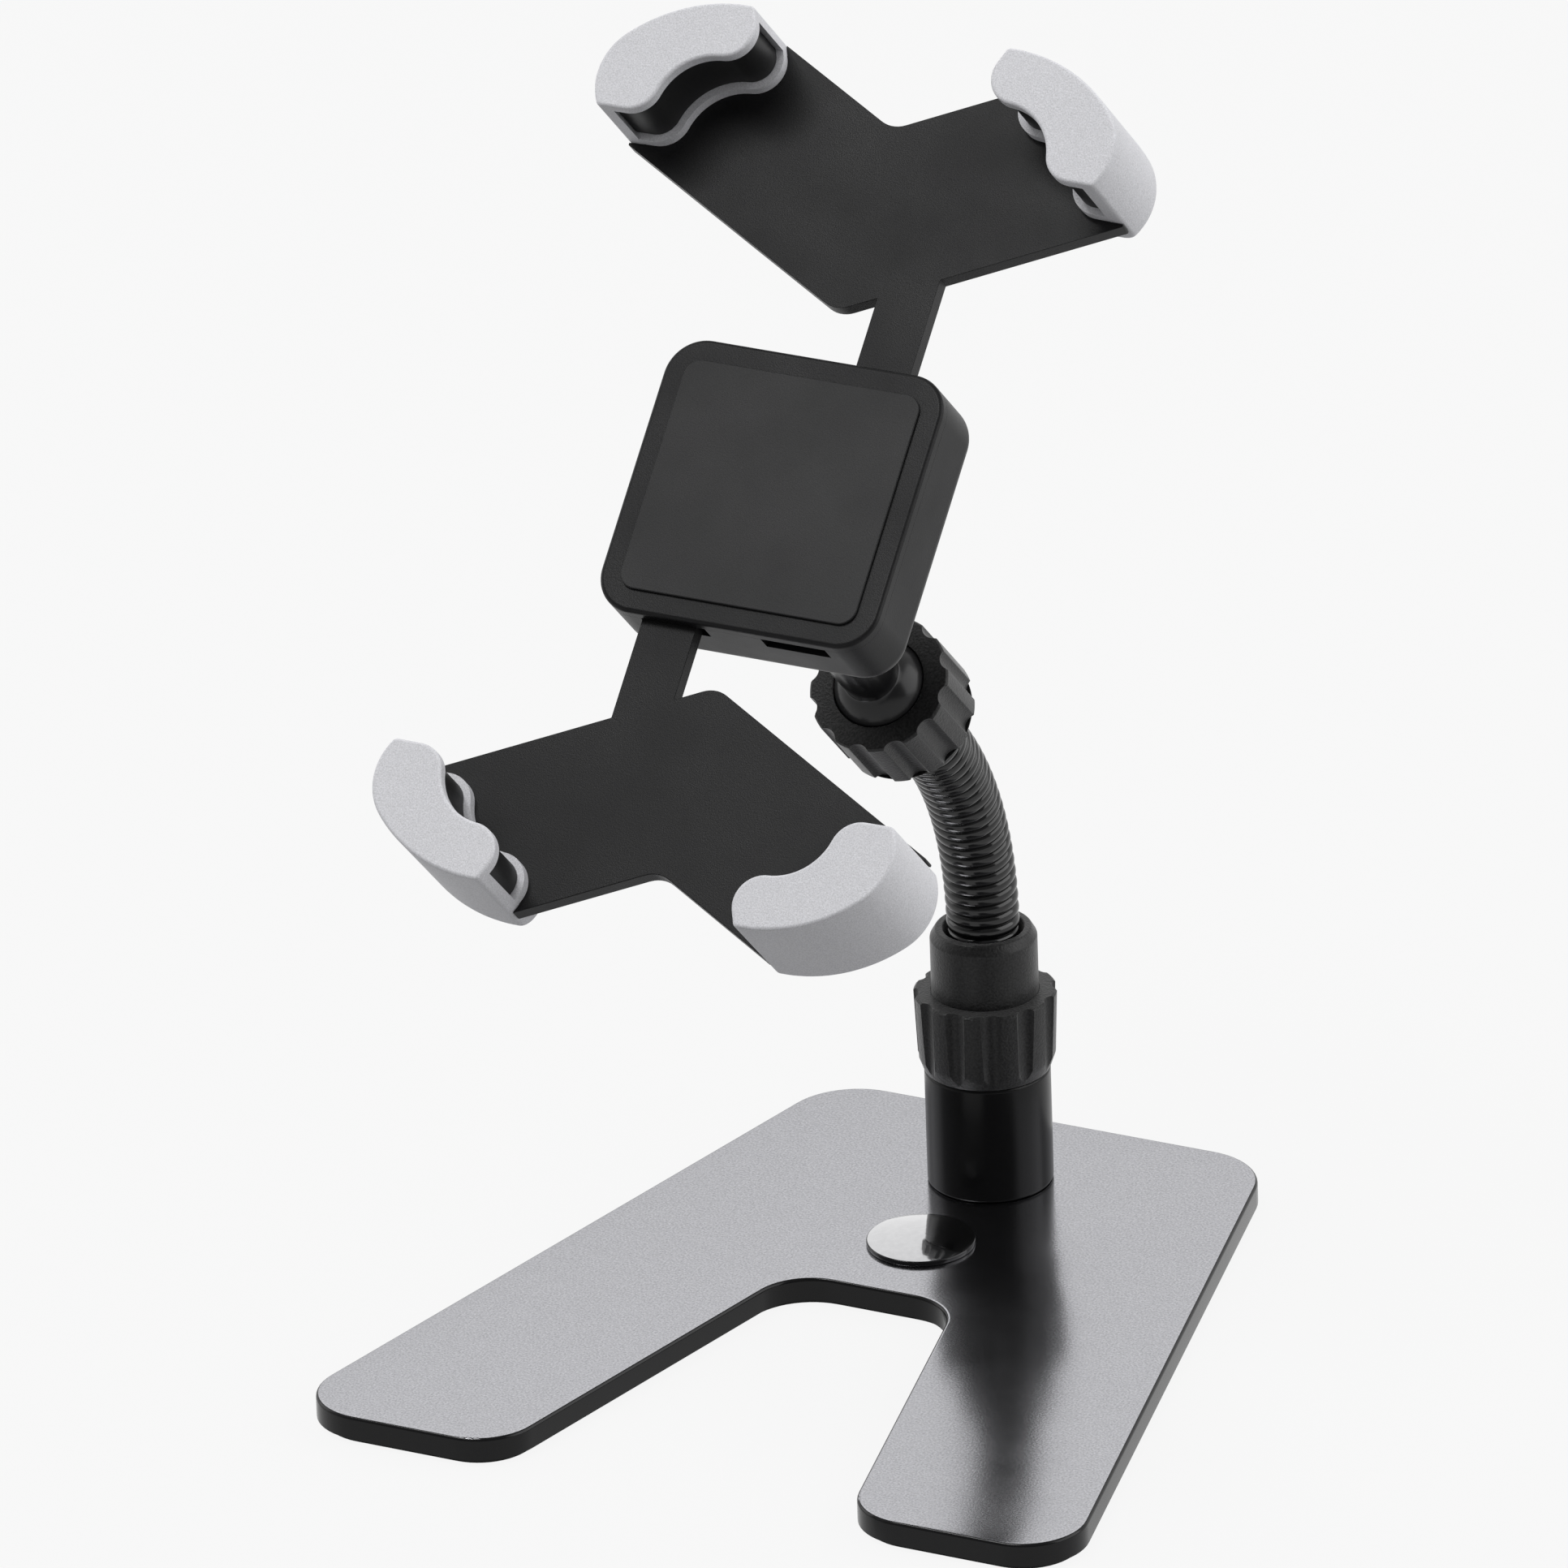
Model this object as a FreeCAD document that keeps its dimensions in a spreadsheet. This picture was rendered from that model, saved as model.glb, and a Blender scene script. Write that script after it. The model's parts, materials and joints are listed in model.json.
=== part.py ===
"""Desk phone stand: a weighted base plate, a post, a gooseneck, a ball joint and a four-claw holder.

The origin lies on the post's axis at the level the rubber sheet rests on. +Z is up and the front is -Y.
All sizes are in millimetres and degrees, and are kept in the document's sheet.
"""
import FreeCAD
import Part
import Sketcher

import math
import os
import re

Vector = FreeCAD.Vector
UP = Vector(0, 0, 1)

SIZES = {
    # Base plate, the rubber sheet under it and the badge
    "grip_thickness": 1.2,
    "grip_inset": 1.5,
    "plate_thickness": 4.2,
    "plate_back": 24.1,
    "plate_front": 125.5,
    "back_half_width": 42.2,
    "front_half_width": 74.7,
    "notch_back": 47.0,
    "notch_half_width": 15.7,
    "notch_mouth_half_width": 32.9,
    "back_corner_radius": 13.0,
    "front_corner_radius": 11.0,
    "notch_corner_radius": 10.0,
    "plate_edge_radius": 0.7,
    "badge_radius": 9.5,
    "badge_rim": 0.9,
    "badge_crown": 1.3,
    "badge_forward": 28.0,
    # Post, its screw and the swivel at its top
    "post_radius": 11.0,
    "post_height": 21.8,
    "post_chamfer": 0.4,
    "spigot_radius": 9.6,
    "spigot_height": 7.0,
    "screw_radius": 4.0,
    "screw_head_radius": 7.4,
    "screw_length": 18.0,
    "screw_key": 5.0,
    "screw_key_depth": 2.2,
    "washer_thickness": 0.8,
    "fit_gap": 0.05,
    "turn_gap": 0.1,
    # Fluted nuts
    "nut_radius": 12.5,
    "nut_height": 14.5,
    "nut_taper": 0.5,
    "nut_bevel_width": 0.9,
    "nut_bevel_height": 2.6,
    "nut_edge": 0.4,
    "flute_radius": 2.2,
    "flute_depth": 1.1,
    "flute_count": 12,
    # Ferrule and gooseneck
    "ferrule_radius": 9.35,
    "ferrule_flange": 0.75,
    "ferrule_flange_height": 2.2,
    "ferrule_height": 18.7,
    "ferrule_floor": 4.2,
    "ferrule_seat": 5.5,
    "ferrule_mouth_radius": 7.1,
    "ferrule_chamfer": 1.0,
    "ferrule_chamfer_height": 1.7,
    "neck_radius": 6.4,
    "neck_core_radius": 5.7,
    "neck_bend_radius": 60.4,
    "neck_bend_angle": 45.0,
    "neck_straight": 8.3,
    "ring_pitch": 1.5,
    "ring_width": 0.95,
    # Ball joint, along the axis of the bent neck from the nut's mouth
    "upper_nut_length": 14.4,
    "socket_cone_length": 5.2,
    "socket_cone_end": 8.6,
    "socket_radius": 9.8,
    "socket_wall": 0.6,
    "socket_floor": 2.0,
    "ball_radius": 8.5,
    "ball_depth": 3.0,
    "lip_height": 1.8,
    "liner_height": 5.5,
    "stem_radius": 5.0,
    "collar_radius": 10.0,
    "collar_height": 4.0,
    "collar_cone_height": 7.0,
    "journal_radius": 6.0,
    "journal_length": 7.2,
    "stud_washer_radius": 7.2,
    "stud_washer_thickness": 1.2,
    "stud_screw_radius": 2.0,
    "stud_screw_length": 9.0,
    "stud_screw_head_radius": 3.6,
    "stud_screw_head_height": 2.0,
    "small_screw_radius": 1.2,
    "small_head_radius": 2.1,
    "small_head_height": 1.4,
    "small_screw_length": 6.0,
    # Holder housing
    "claw_reach": 77.3,
    "holder_rise": 9.6,
    "housing_half_width": 26.0,
    "housing_half_height": 25.0,
    "housing_depth": 14.7,
    "housing_corner_radius": 7.0,
    "housing_back_radius": 4.0,
    "housing_screw_inset": 4.6,
    "cover_thickness": 2.4,
    "cover_edge_radius": 0.8,
    "pad_thickness": 0.6,
    "pad_margin": 4.0,
    "slide_gap": 0.2,
    "pin_radius": 2.0,
    "pin_length": 10.0,
    # Rack and pinion
    "gear_module": 1.0,
    "pinion_teeth": 12,
    "tooth_addendum": 0.6,
    "tooth_dedendum": 0.85,
    "tooth_backlash": 0.24,
    "pressure_angle": 20.0,
    # Yokes
    "yoke_thickness": 3.0,
    "arm_angle": 26.5,
    "arm_inner_vertex": 34.6,
    "arm_outer_vertex": 68.2,
    "arm_vertex_radius": 5.0,
    "tongue_side": 17.0,
    "tongue_end": 16.0,
    "rack_teeth": 10,
    # Claws and their rubber inserts
    "claw_across": 35.0,
    "claw_along": 69.25,
    "claw_height": 24.4,
    "crown_across": 5.2,
    "crown_height": 9.0,
    "crown_radius": 28.5,
    "crown_turn": 47.2,
    "shoulder_radius": 10.8,
    "shoulder_turn": 11.0,
    "lobe_radius": 5.2,
    "far_lobe_across": 9.8,
    "far_lobe_height": -0.9,
    "near_lobe_across": 8.6,
    "near_lobe_height": 0.5,
    "waist_radius": 10.2,
    "claw_wall": 2.0,
    "claw_lip": 2.2,
    "claw_foot": 2.0,
    "claw_floor": 4.9,
    "claw_top_radius": 0.6,
    "claw_corner_radius": 1.0,
    "claw_base_radius": 3.0,
    "insert_inset": 1.2,
    "claw_screw_across": 6.0,
    "claw_screw_inside": 1.0,
    "claw_screw_recess": 3.0,
}

doc = FreeCAD.newDocument("phone_stand")
sheet = doc.addObject("Spreadsheet::Sheet", "Sizes")
for row, (alias, size) in enumerate(SIZES.items(), start=1):
    sheet.set(f"A{row}", alias)
    sheet.set(f"B{row}", str(size))
    sheet.setAlias(f"B{row}", alias)
doc.recompute()

ALIAS_WORD = re.compile(r"\b(" + "|".join(SIZES) + r")\b")
sub_parts = []


def bound(expression):
    """Return an expression whose size names point at the sheet."""
    return ALIAS_WORD.sub(r"Sizes.\1", expression)


def value(expression):
    """Return the number that an expression of size names gives."""
    return float(sheet.evalExpression(bound(expression)))


def keep(shape_object, label, placement=None):
    """Name an object as a finished sub-part and put it in its place."""
    shape_object.Label = label
    if placement is not None:
        shape_object.Placement = placement
    sub_parts.append(shape_object)
    return shape_object


# Sketches and features

def origin_feature(body, role):
    """Return the body's own origin plane or axis with a given role."""
    return next(feature for feature in body.Origin.OriginFeatures if feature.Role == role)


def new_body(name):
    """Return a new, empty PartDesign body."""
    return doc.addObject("PartDesign::Body", name + "_body")


def new_sketch(body, plane, level="0"):
    """Return a sketch on one of the body's origin planes, raised to a level along its normal."""
    sketch = body.newObject("Sketcher::SketchObject", body.Name + "_sketch")
    sketch.AttachmentSupport = [(origin_feature(body, plane), "")]
    sketch.MapMode = "FlatFace"
    sketch.setExpression("AttachmentOffset.Base.z", bound(level))
    return sketch


def bind_point(sketch, geometry, position, across, along):
    """Tie a point of a sketch to two expressions, one for each sketch axis."""
    for kind, expression, axis in (("DistanceX", across, -2), ("DistanceY", along, -1)):
        number = value(expression)
        if abs(number) < 1e-9:
            sketch.addConstraint(Sketcher.Constraint("PointOnObject", geometry, position, axis))
        elif number > 0:
            index = sketch.addConstraint(Sketcher.Constraint(kind, -1, 1, geometry, position, number))
            sketch.setExpression(f"Constraints[{index}]", bound(expression))
        else:
            index = sketch.addConstraint(Sketcher.Constraint(kind, geometry, position, -1, 1, -number))
            sketch.setExpression(f"Constraints[{index}]", bound(f"-({expression})"))


def draw_polygon(sketch, corners):
    """Draw a closed polygon whose corners are pairs of expressions."""
    first = sketch.GeometryCount
    points = [Vector(value(across), value(along), 0) for across, along in corners]
    count = len(points)
    for index in range(count):
        sketch.addGeometry(Part.LineSegment(points[index], points[(index + 1) % count]))
    for index in range(count):
        following = first + (index + 1) % count
        sketch.addConstraint(Sketcher.Constraint("Coincident", first + index, 2, following, 1))
    for index, (across, along) in enumerate(corners):
        bind_point(sketch, first + index, 1, across, along)


def draw_circle(sketch, across, along, radius):
    """Draw a circle with its centre and radius tied to expressions."""
    circle = Part.Circle(Vector(value(across), value(along), 0), UP, value(radius))
    index = sketch.addGeometry(circle)
    bind_point(sketch, index, 3, across, along)
    constraint = sketch.addConstraint(Sketcher.Constraint("Radius", index, value(radius)))
    sketch.setExpression(f"Constraints[{constraint}]", bound(radius))


def pad(body, sketch, length):
    """Raise a sketch along its normal."""
    feature = body.newObject("PartDesign::Pad", body.Name + "_pad")
    feature.Profile = sketch
    feature.setExpression("Length", bound(length))
    doc.recompute()
    return feature


def pocket(body, sketch, length):
    """Cut a sketch upwards, along its normal, and make sure that it took material away."""
    before = body.Shape.Volume
    feature = body.newObject("PartDesign::Pocket", body.Name + "_pocket")
    feature.Profile = sketch
    feature.Reversed = True
    feature.setExpression("Length", bound(length))
    doc.recompute()
    if body.Shape.Volume >= before:
        raise RuntimeError(f"a cut in {body.Name} took nothing away")
    return feature


def pattern(body, kind, feature, direction, count):
    """Repeat a feature of a body and make the pattern the body's result."""
    repeat = body.newObject("PartDesign::" + kind, body.Name + "_pattern")
    repeat.Originals = [feature]
    if kind == "PolarPattern":
        repeat.Axis = (origin_feature(body, direction), [""])
        repeat.Angle = 360
    else:
        repeat.Direction = (origin_feature(body, direction), [""])
    repeat.setExpression("Occurrences", bound(count))
    body.Tip = repeat
    return repeat


def round_edges(body, chosen, radius):
    """Fillet the edges of a body that a test picks out."""
    base = body.Tip
    names = [f"Edge{number}" for number, edge in enumerate(base.Shape.Edges, start=1) if chosen(edge)]
    if not names:
        raise RuntimeError(f"no edge of {body.Name} to round")
    feature = body.newObject("PartDesign::Fillet", body.Name + "_fillet")
    feature.Base = (base, names)
    feature.setExpression("Radius", bound(radius))
    doc.recompute()
    return feature


def upright_at(points):
    """Return a test for upright edges that stand at one of some points."""
    def chosen(edge):
        ends = [vertex.Point for vertex in edge.Vertexes]
        if len(ends) != 2 or abs(ends[0].z - ends[1].z) < 1e-6:
            return False
        return any(all(math.hypot(end.x - x, end.y - y) < 1e-4 for end in ends) for x, y in points)
    return chosen


def flat_at(level):
    """Return a test for edges that lie wholly at one level."""
    def chosen(edge):
        box = edge.BoundBox
        return abs(box.ZMin - level) < 1e-5 and abs(box.ZMax - level) < 1e-5
    return chosen


def turned(name, profile):
    """Return a body turned about Z from (radius, height) corners."""
    body = new_body(name)
    sketch = new_sketch(body, "XZ_Plane")
    draw_polygon(sketch, profile)
    feature = body.newObject("PartDesign::Revolution", name + "_turned")
    feature.Profile = sketch
    feature.ReferenceAxis = (origin_feature(body, "Z_Axis"), [""])
    feature.Angle = 360
    doc.recompute()
    return body


def turned_cut(body, profile):
    """Cut a turned hole about Z from (radius, height) corners."""
    sketch = new_sketch(body, "XZ_Plane")
    draw_polygon(sketch, profile)
    feature = body.newObject("PartDesign::Groove", body.Name + "_groove")
    feature.Profile = sketch
    feature.ReferenceAxis = (origin_feature(body, "Z_Axis"), [""])
    feature.Angle = 360
    doc.recompute()


def cylinder(name, radius, height, across="0", along="0", level="0"):
    """Return an upright cylinder tied to expressions."""
    solid = doc.addObject("Part::Cylinder", name)
    solid.setExpression("Radius", bound(radius))
    solid.setExpression("Height", bound(height))
    solid.setExpression("Placement.Base.x", bound(across))
    solid.setExpression("Placement.Base.y", bound(along))
    solid.setExpression("Placement.Base.z", bound(level))
    return solid


def sphere(name, radius, level):
    """Return a sphere on the Z axis tied to expressions."""
    solid = doc.addObject("Part::Sphere", name)
    solid.setExpression("Radius", bound(radius))
    solid.setExpression("Placement.Base.z", bound(level))
    return solid


def cut(name, base, *tools):
    """Return a solid with one or more tools cut away."""
    result = base
    for number, tool in enumerate(tools):
        step = doc.addObject("Part::Cut", f"{name}_cut_{number}")
        step.Base = result
        step.Tool = tool
        result = step
    doc.recompute()
    return result


def small_screw(name, across, along, level):
    """Return a pan-head screw whose head's underside lies at a level and whose shank points up."""
    head = cylinder(name + "_head", "small_head_radius", "small_head_height",
                    across, along, f"{level} - small_head_height")
    shank = cylinder(name + "_shank", "small_screw_radius", "small_screw_length", across, along, level)
    screw = doc.addObject("Part::Fuse", name)
    screw.Base = head
    screw.Tool = shank
    return screw


def group(label, solids, placement=None):
    """Keep several separate solids as one sub-part."""
    compound = doc.addObject("Part::Compound", label)
    compound.Links = solids
    doc.recompute()
    return keep(compound, label, placement)


# Base

POST_FOOT = "(grip_thickness + plate_thickness)"
POST_TOP = "(grip_thickness + plate_thickness + post_height)"
SPIGOT_TOP = "(grip_thickness + plate_thickness + post_height + spigot_height)"
SCREW_HEAD_HEIGHT = "(screw_head_radius - screw_radius)"


SIDE_SLOPE = "((front_half_width - back_half_width) / (plate_front + plate_back))"
NOTCH_SLOPE = "((notch_mouth_half_width - notch_half_width) / (plate_front - notch_back))"


def plate_corners(inset):
    """Return the plate's corners, drawn in by an inset, as pairs of expressions."""
    side_shift = f"({inset}) * sqrt(1 + {SIDE_SLOPE} ^ 2)"
    notch_shift = f"({inset}) * sqrt(1 + {NOTCH_SLOPE} ^ 2)"
    back = f"(back_half_width + ({inset}) * {SIDE_SLOPE} - {side_shift})"
    front = f"(front_half_width - ({inset}) * {SIDE_SLOPE} - {side_shift})"
    mouth = f"(notch_mouth_half_width - ({inset}) * {NOTCH_SLOPE} + {notch_shift})"
    notch = f"(notch_half_width - ({inset}) * {NOTCH_SLOPE} + {notch_shift})"
    back_edge = f"(plate_back - ({inset}))"
    front_edge = f"(({inset}) - plate_front)"
    notch_edge = f"(({inset}) - notch_back)"
    return {
        "back": [(back, back_edge), (f"-{back}", back_edge)],
        "front": [(f"-{front}", front_edge), (f"-{mouth}", front_edge), (mouth, front_edge), (front, front_edge)],
        "notch": [(f"-{notch}", notch_edge), (notch, notch_edge)],
    }


def splayed_plate(name, inset, thickness):
    """Return a flat, splayed plate with an open notch at its front and round corners."""
    corners = plate_corners(inset)
    body = new_body(name)
    sketch = new_sketch(body, "XY_Plane")
    draw_polygon(sketch, corners["back"] + corners["front"][:2] + corners["notch"] + corners["front"][2:])
    pad(body, sketch, thickness)
    growth = {"back": "-", "front": "-", "notch": "+"}
    for end, points in corners.items():
        places = [(value(across), value(along)) for across, along in points]
        round_edges(body, upright_at(places), f"{end}_corner_radius {growth[end]} {inset}")
    return body


def build_plate():
    """The base plate, countersunk from below for the post's screw, and the rubber sheet under it."""
    body = splayed_plate("base_plate", "0", "plate_thickness")
    round_edges(body, flat_at(value("plate_thickness")), "plate_edge_radius")
    turned_cut(body, [
        ("0", "0"),
        ("screw_head_radius + fit_gap", "0"),
        ("screw_radius + fit_gap", SCREW_HEAD_HEIGHT),
        ("screw_radius + fit_gap", "plate_thickness"),
        ("0", "plate_thickness"),
    ])
    keep(body, "base_plate", FreeCAD.Placement(UP * value("grip_thickness"), FreeCAD.Rotation()))
    keep(splayed_plate("non_slip_sheet", "grip_inset", "grip_thickness"), "non_slip_sheet")


def build_badge():
    """The bare, clear dome in front of the post."""
    rim = cylinder("badge_rim_solid", "badge_radius", "badge_rim + badge_crown", "0", "-badge_forward", POST_FOOT)
    bulge = "((badge_radius ^ 2 + badge_crown ^ 2) / (2 * badge_crown))"
    crown = sphere("badge_crown_solid", bulge, f"{POST_FOOT} + badge_rim + badge_crown - {bulge}")
    crown.setExpression("Placement.Base.y", bound("-badge_forward"))
    dome = doc.addObject("Part::Common", "badge_dome")
    dome.Base = rim
    dome.Tool = crown
    doc.recompute()
    keep(dome, "badge_dome")


def build_post():
    """The round post, with a spigot at its top for the swivel nut."""
    inner = "screw_radius + fit_gap"
    depth = "(screw_length + fit_gap)"
    keep(turned("post", [
        (inner, POST_FOOT),
        ("post_radius - post_chamfer", POST_FOOT),
        ("post_radius", f"{POST_FOOT} + post_chamfer"),
        ("post_radius", f"{POST_TOP} - post_chamfer"),
        ("post_radius - post_chamfer", POST_TOP),
        ("spigot_radius", POST_TOP),
        ("spigot_radius", SPIGOT_TOP),
        ("0", SPIGOT_TOP),
        ("0", f"grip_thickness + {depth}"),
        (inner, f"grip_thickness + {depth}"),
    ]), "post")


def build_post_screw():
    """The countersunk screw that holds the post, let in flush with the plate's underside."""
    body = turned("post_screw", [
        ("0", "0"),
        ("screw_head_radius", "0"),
        ("screw_radius", SCREW_HEAD_HEIGHT),
        ("screw_radius", "screw_length"),
        ("0", "screw_length"),
    ])
    flat = "screw_key / 2"
    tip = "screw_key / sqrt(3)"
    half_tip = "screw_key / sqrt(12)"
    sketch = new_sketch(body, "XY_Plane")
    draw_polygon(sketch, [
        (tip, "0"), (half_tip, flat), (f"-{half_tip}", flat),
        (f"-{tip}", "0"), (f"-{half_tip}", f"-{flat}"), (half_tip, f"-{flat}"),
    ])
    pocket(body, sketch, "screw_key_depth")
    keep(body, "post_screw", FreeCAD.Placement(UP * value("grip_thickness"), FreeCAD.Rotation()))


def build_washer():
    """The plastic washer that the ferrule turns on."""
    keep(turned("swivel_washer", [
        ("screw_radius", SPIGOT_TOP),
        ("spigot_radius", SPIGOT_TOP),
        ("spigot_radius", f"{SPIGOT_TOP} + washer_thickness"),
        ("screw_radius", f"{SPIGOT_TOP} + washer_thickness"),
    ]), "swivel_washer")


# Swivel nut, ferrule and gooseneck

FERRULE_FOOT = f"({SPIGOT_TOP} + washer_thickness + fit_gap)"
FERRULE_TOP = f"({FERRULE_FOOT} + ferrule_height)"
NECK_FOOT = f"({FERRULE_FOOT} + ferrule_floor)"


def flute(body, radius, start, length):
    """Cut the finger scallops into a nut whose land has a given radius."""
    sketch = new_sketch(body, "XY_Plane", start)
    draw_circle(sketch, f"{radius} - flute_depth + flute_radius", "0", "flute_radius")
    scallop = pocket(body, sketch, length)
    pattern(body, "PolarPattern", scallop, "Z_Axis", "flute_count")
    doc.recompute()


def build_lower_nut():
    """The fluted nut that draws the ferrule's flange down on the post."""
    top = f"({POST_TOP} + turn_gap + nut_height)"
    foot = f"({POST_TOP} + turn_gap)"
    chamber = f"({FERRULE_FOOT} + ferrule_flange_height + turn_gap)"
    thread = "spigot_radius + turn_gap"
    room = "ferrule_radius + ferrule_flange + turn_gap"
    body = turned("lower_nut", [
        (thread, foot),
        ("nut_radius - nut_taper - nut_bevel_width", foot),
        ("nut_radius - nut_taper", f"{foot} + nut_bevel_height"),
        ("nut_radius", f"{top} - nut_edge"),
        ("nut_radius - nut_edge", top),
        ("ferrule_radius + turn_gap", top),
        ("ferrule_radius + turn_gap", chamber),
        (room, chamber),
        (room, SPIGOT_TOP),
        (thread, SPIGOT_TOP),
    ])
    flute(body, "nut_radius", f"{foot} - nut_edge", "nut_height + 2 * nut_edge")
    keep(body, "lower_nut")


def build_ferrule():
    """The turned ferrule that holds the gooseneck's foot and swivels in the nut."""
    flange = "ferrule_radius + ferrule_flange"
    keep(turned("ferrule", [
        ("0", FERRULE_FOOT),
        (flange, FERRULE_FOOT),
        (flange, f"{FERRULE_FOOT} + ferrule_flange_height"),
        ("ferrule_radius", f"{FERRULE_FOOT} + ferrule_flange_height"),
        ("ferrule_radius", f"{FERRULE_TOP} - ferrule_chamfer_height"),
        ("ferrule_radius - ferrule_chamfer", FERRULE_TOP),
        ("ferrule_mouth_radius", FERRULE_TOP),
        ("ferrule_mouth_radius", f"{NECK_FOOT} + ferrule_seat"),
        ("neck_radius + fit_gap", f"{NECK_FOOT} + ferrule_seat"),
        ("neck_radius + fit_gap", NECK_FOOT),
        ("0", NECK_FOOT),
    ]), "ferrule")


def neck_end():
    """Return the point where the neck's bend ends, and the neck's direction there."""
    turn = math.radians(value("neck_bend_angle"))
    bend = value("neck_bend_radius")
    point = Vector(0, -bend * (1 - math.cos(turn)), value(FERRULE_TOP) + bend * math.sin(turn))
    return point, Vector(0, -math.sin(turn), math.cos(turn))


def neck_station(distance):
    """Return the point and direction of the neck's axis at a distance above the ferrule's top."""
    bend = value("neck_bend_radius")
    turn = math.radians(value("neck_bend_angle"))
    angle = min(max(distance / bend, 0.0), turn)
    direction = Vector(0, -math.sin(angle), math.cos(angle))
    point = Vector(0, -bend * (1 - math.cos(angle)), value(FERRULE_TOP) + bend * math.sin(angle))
    return point + direction * (distance - angle * bend), direction


def build_gooseneck():
    """The bent gooseneck: a core along one arc between two straight ends, with a ring at every pitch."""
    core = value("neck_core_radius")
    bend_length = value("neck_bend_radius") * math.radians(value("neck_bend_angle"))
    lead = value(FERRULE_TOP) - value(NECK_FOOT)
    seat = value(SOCKET_SEAT)
    foot = Vector(0, 0, value(NECK_FOOT))
    bend_start, _ = neck_station(0)
    bend_middle, _ = neck_station(bend_length / 2)
    bend_stop, axis = neck_station(bend_length)
    top = bend_stop + axis * (value("neck_straight") + seat)
    path = Part.Wire([
        Part.LineSegment(foot, bend_start).toShape(),
        Part.Arc(bend_start, bend_middle, bend_stop).toShape(),
        Part.LineSegment(bend_stop, top).toShape(),
    ])
    section = Part.Wire([Part.Circle(foot, UP, core).toShape()])
    solid = path.makePipeShell([section], True, False)
    width = value("ring_width")
    pitch = value("ring_pitch")
    first = value("ring_width") - lead
    last = bend_length + value("neck_straight") + seat - 2 * width
    rings = []
    for number in range(int((last - first) / pitch) + 1):
        point, direction = neck_station(first + number * pitch)
        rings.append(Part.makeCylinder(value("neck_radius"), width, point, direction))
    neck = doc.addObject("Part::Feature", "gooseneck")
    neck.Shape = solid.multiFuse(rings)
    keep(neck, "gooseneck")


# Ball joint, in the head's frame: origin at the mouth of the upper nut, +Z along the holder's normal

SOCKET_BACK = "(upper_nut_length + turn_gap)"
SOCKET_SEAT = "(socket_cone_length + upper_nut_length + turn_gap - ball_depth - ball_radius - socket_floor)"
LINER_BACK = "(ball_depth + ball_radius * 0.76)"


def head_frame():
    """Return the placement of the head's frame."""
    point, axis = neck_end()
    length = value("neck_straight") + value("socket_cone_length") + value(SOCKET_BACK)
    tilt = FreeCAD.Rotation(Vector(1, 0, 0), value("neck_bend_angle"))
    return FreeCAD.Placement(point + axis * length, tilt)


def build_socket(head):
    """The threaded cup at the neck's end, with a cone that closes the nut's flutes."""
    back = f"-({SOCKET_BACK} + socket_cone_length)"
    floor = "-(ball_depth + ball_radius)"
    seat = f"{floor} - socket_floor"
    bore = "socket_radius - socket_wall"
    hole = "neck_radius + fit_gap"
    keep(turned("ball_socket", [
        (hole, back),
        ("socket_cone_end", back),
        ("nut_radius - nut_edge", f"-({SOCKET_BACK})"),
        ("socket_radius", f"-({SOCKET_BACK})"),
        ("socket_radius", "-ball_depth"),
        (bore, "-ball_depth"),
        (bore, floor),
        ("0", floor),
        ("0", seat),
        (hole, seat),
    ]), "ball_socket", head)


def build_upper_nut(head):
    """The fluted nut whose lip clamps the ball in its socket."""
    throat = "sqrt(ball_radius ^ 2 - ball_depth ^ 2) + 2 * turn_gap"
    inner = "sqrt(ball_radius ^ 2 - (ball_depth - lip_height) ^ 2) + 2 * turn_gap"
    thread = "socket_radius + turn_gap"
    body = turned("upper_nut", [
        (throat, "0"),
        ("nut_radius - nut_edge", "0"),
        ("nut_radius", "-nut_edge"),
        ("nut_radius", "-upper_nut_length"),
        (thread, "-upper_nut_length"),
        (thread, "-lip_height"),
        (inner, "-lip_height"),
    ])
    flute(body, "nut_radius", "-(upper_nut_length + nut_edge)", "upper_nut_length + 2 * nut_edge")
    keep(body, "upper_nut", head)


def build_liner(head):
    """The plastic liner ring that the ball turns in."""
    bore = "socket_radius - socket_wall - fit_gap"
    back = "-(ball_depth + ball_radius - fit_gap)"
    blank = turned("socket_liner", [
        ("0", back),
        (bore, back),
        (bore, f"{back} + liner_height"),
        ("0", f"{back} + liner_height"),
    ])
    hollow = sphere("liner_hollow", "ball_radius + fit_gap", "-ball_depth")
    opening = cylinder("liner_opening", "ball_radius / 2", "ball_radius", "0", "0", "-ball_depth - 1.2 * ball_radius")
    keep(cut("socket_liner", blank, hollow, opening), "socket_liner", head)


HOUSING_BACK = "(claw_reach - claw_height + claw_floor + yoke_thickness + slide_gap - housing_depth)"
YOKE_BACK = "(claw_reach - claw_height + claw_floor)"
YOKE_FRONT = "(claw_reach - claw_height + claw_floor + yoke_thickness)"
COVER_BACK = "(claw_reach - claw_height + claw_floor + yoke_thickness + slide_gap)"


JOURNAL_FRONT = f"({HOUSING_BACK} + journal_length)"


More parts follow.
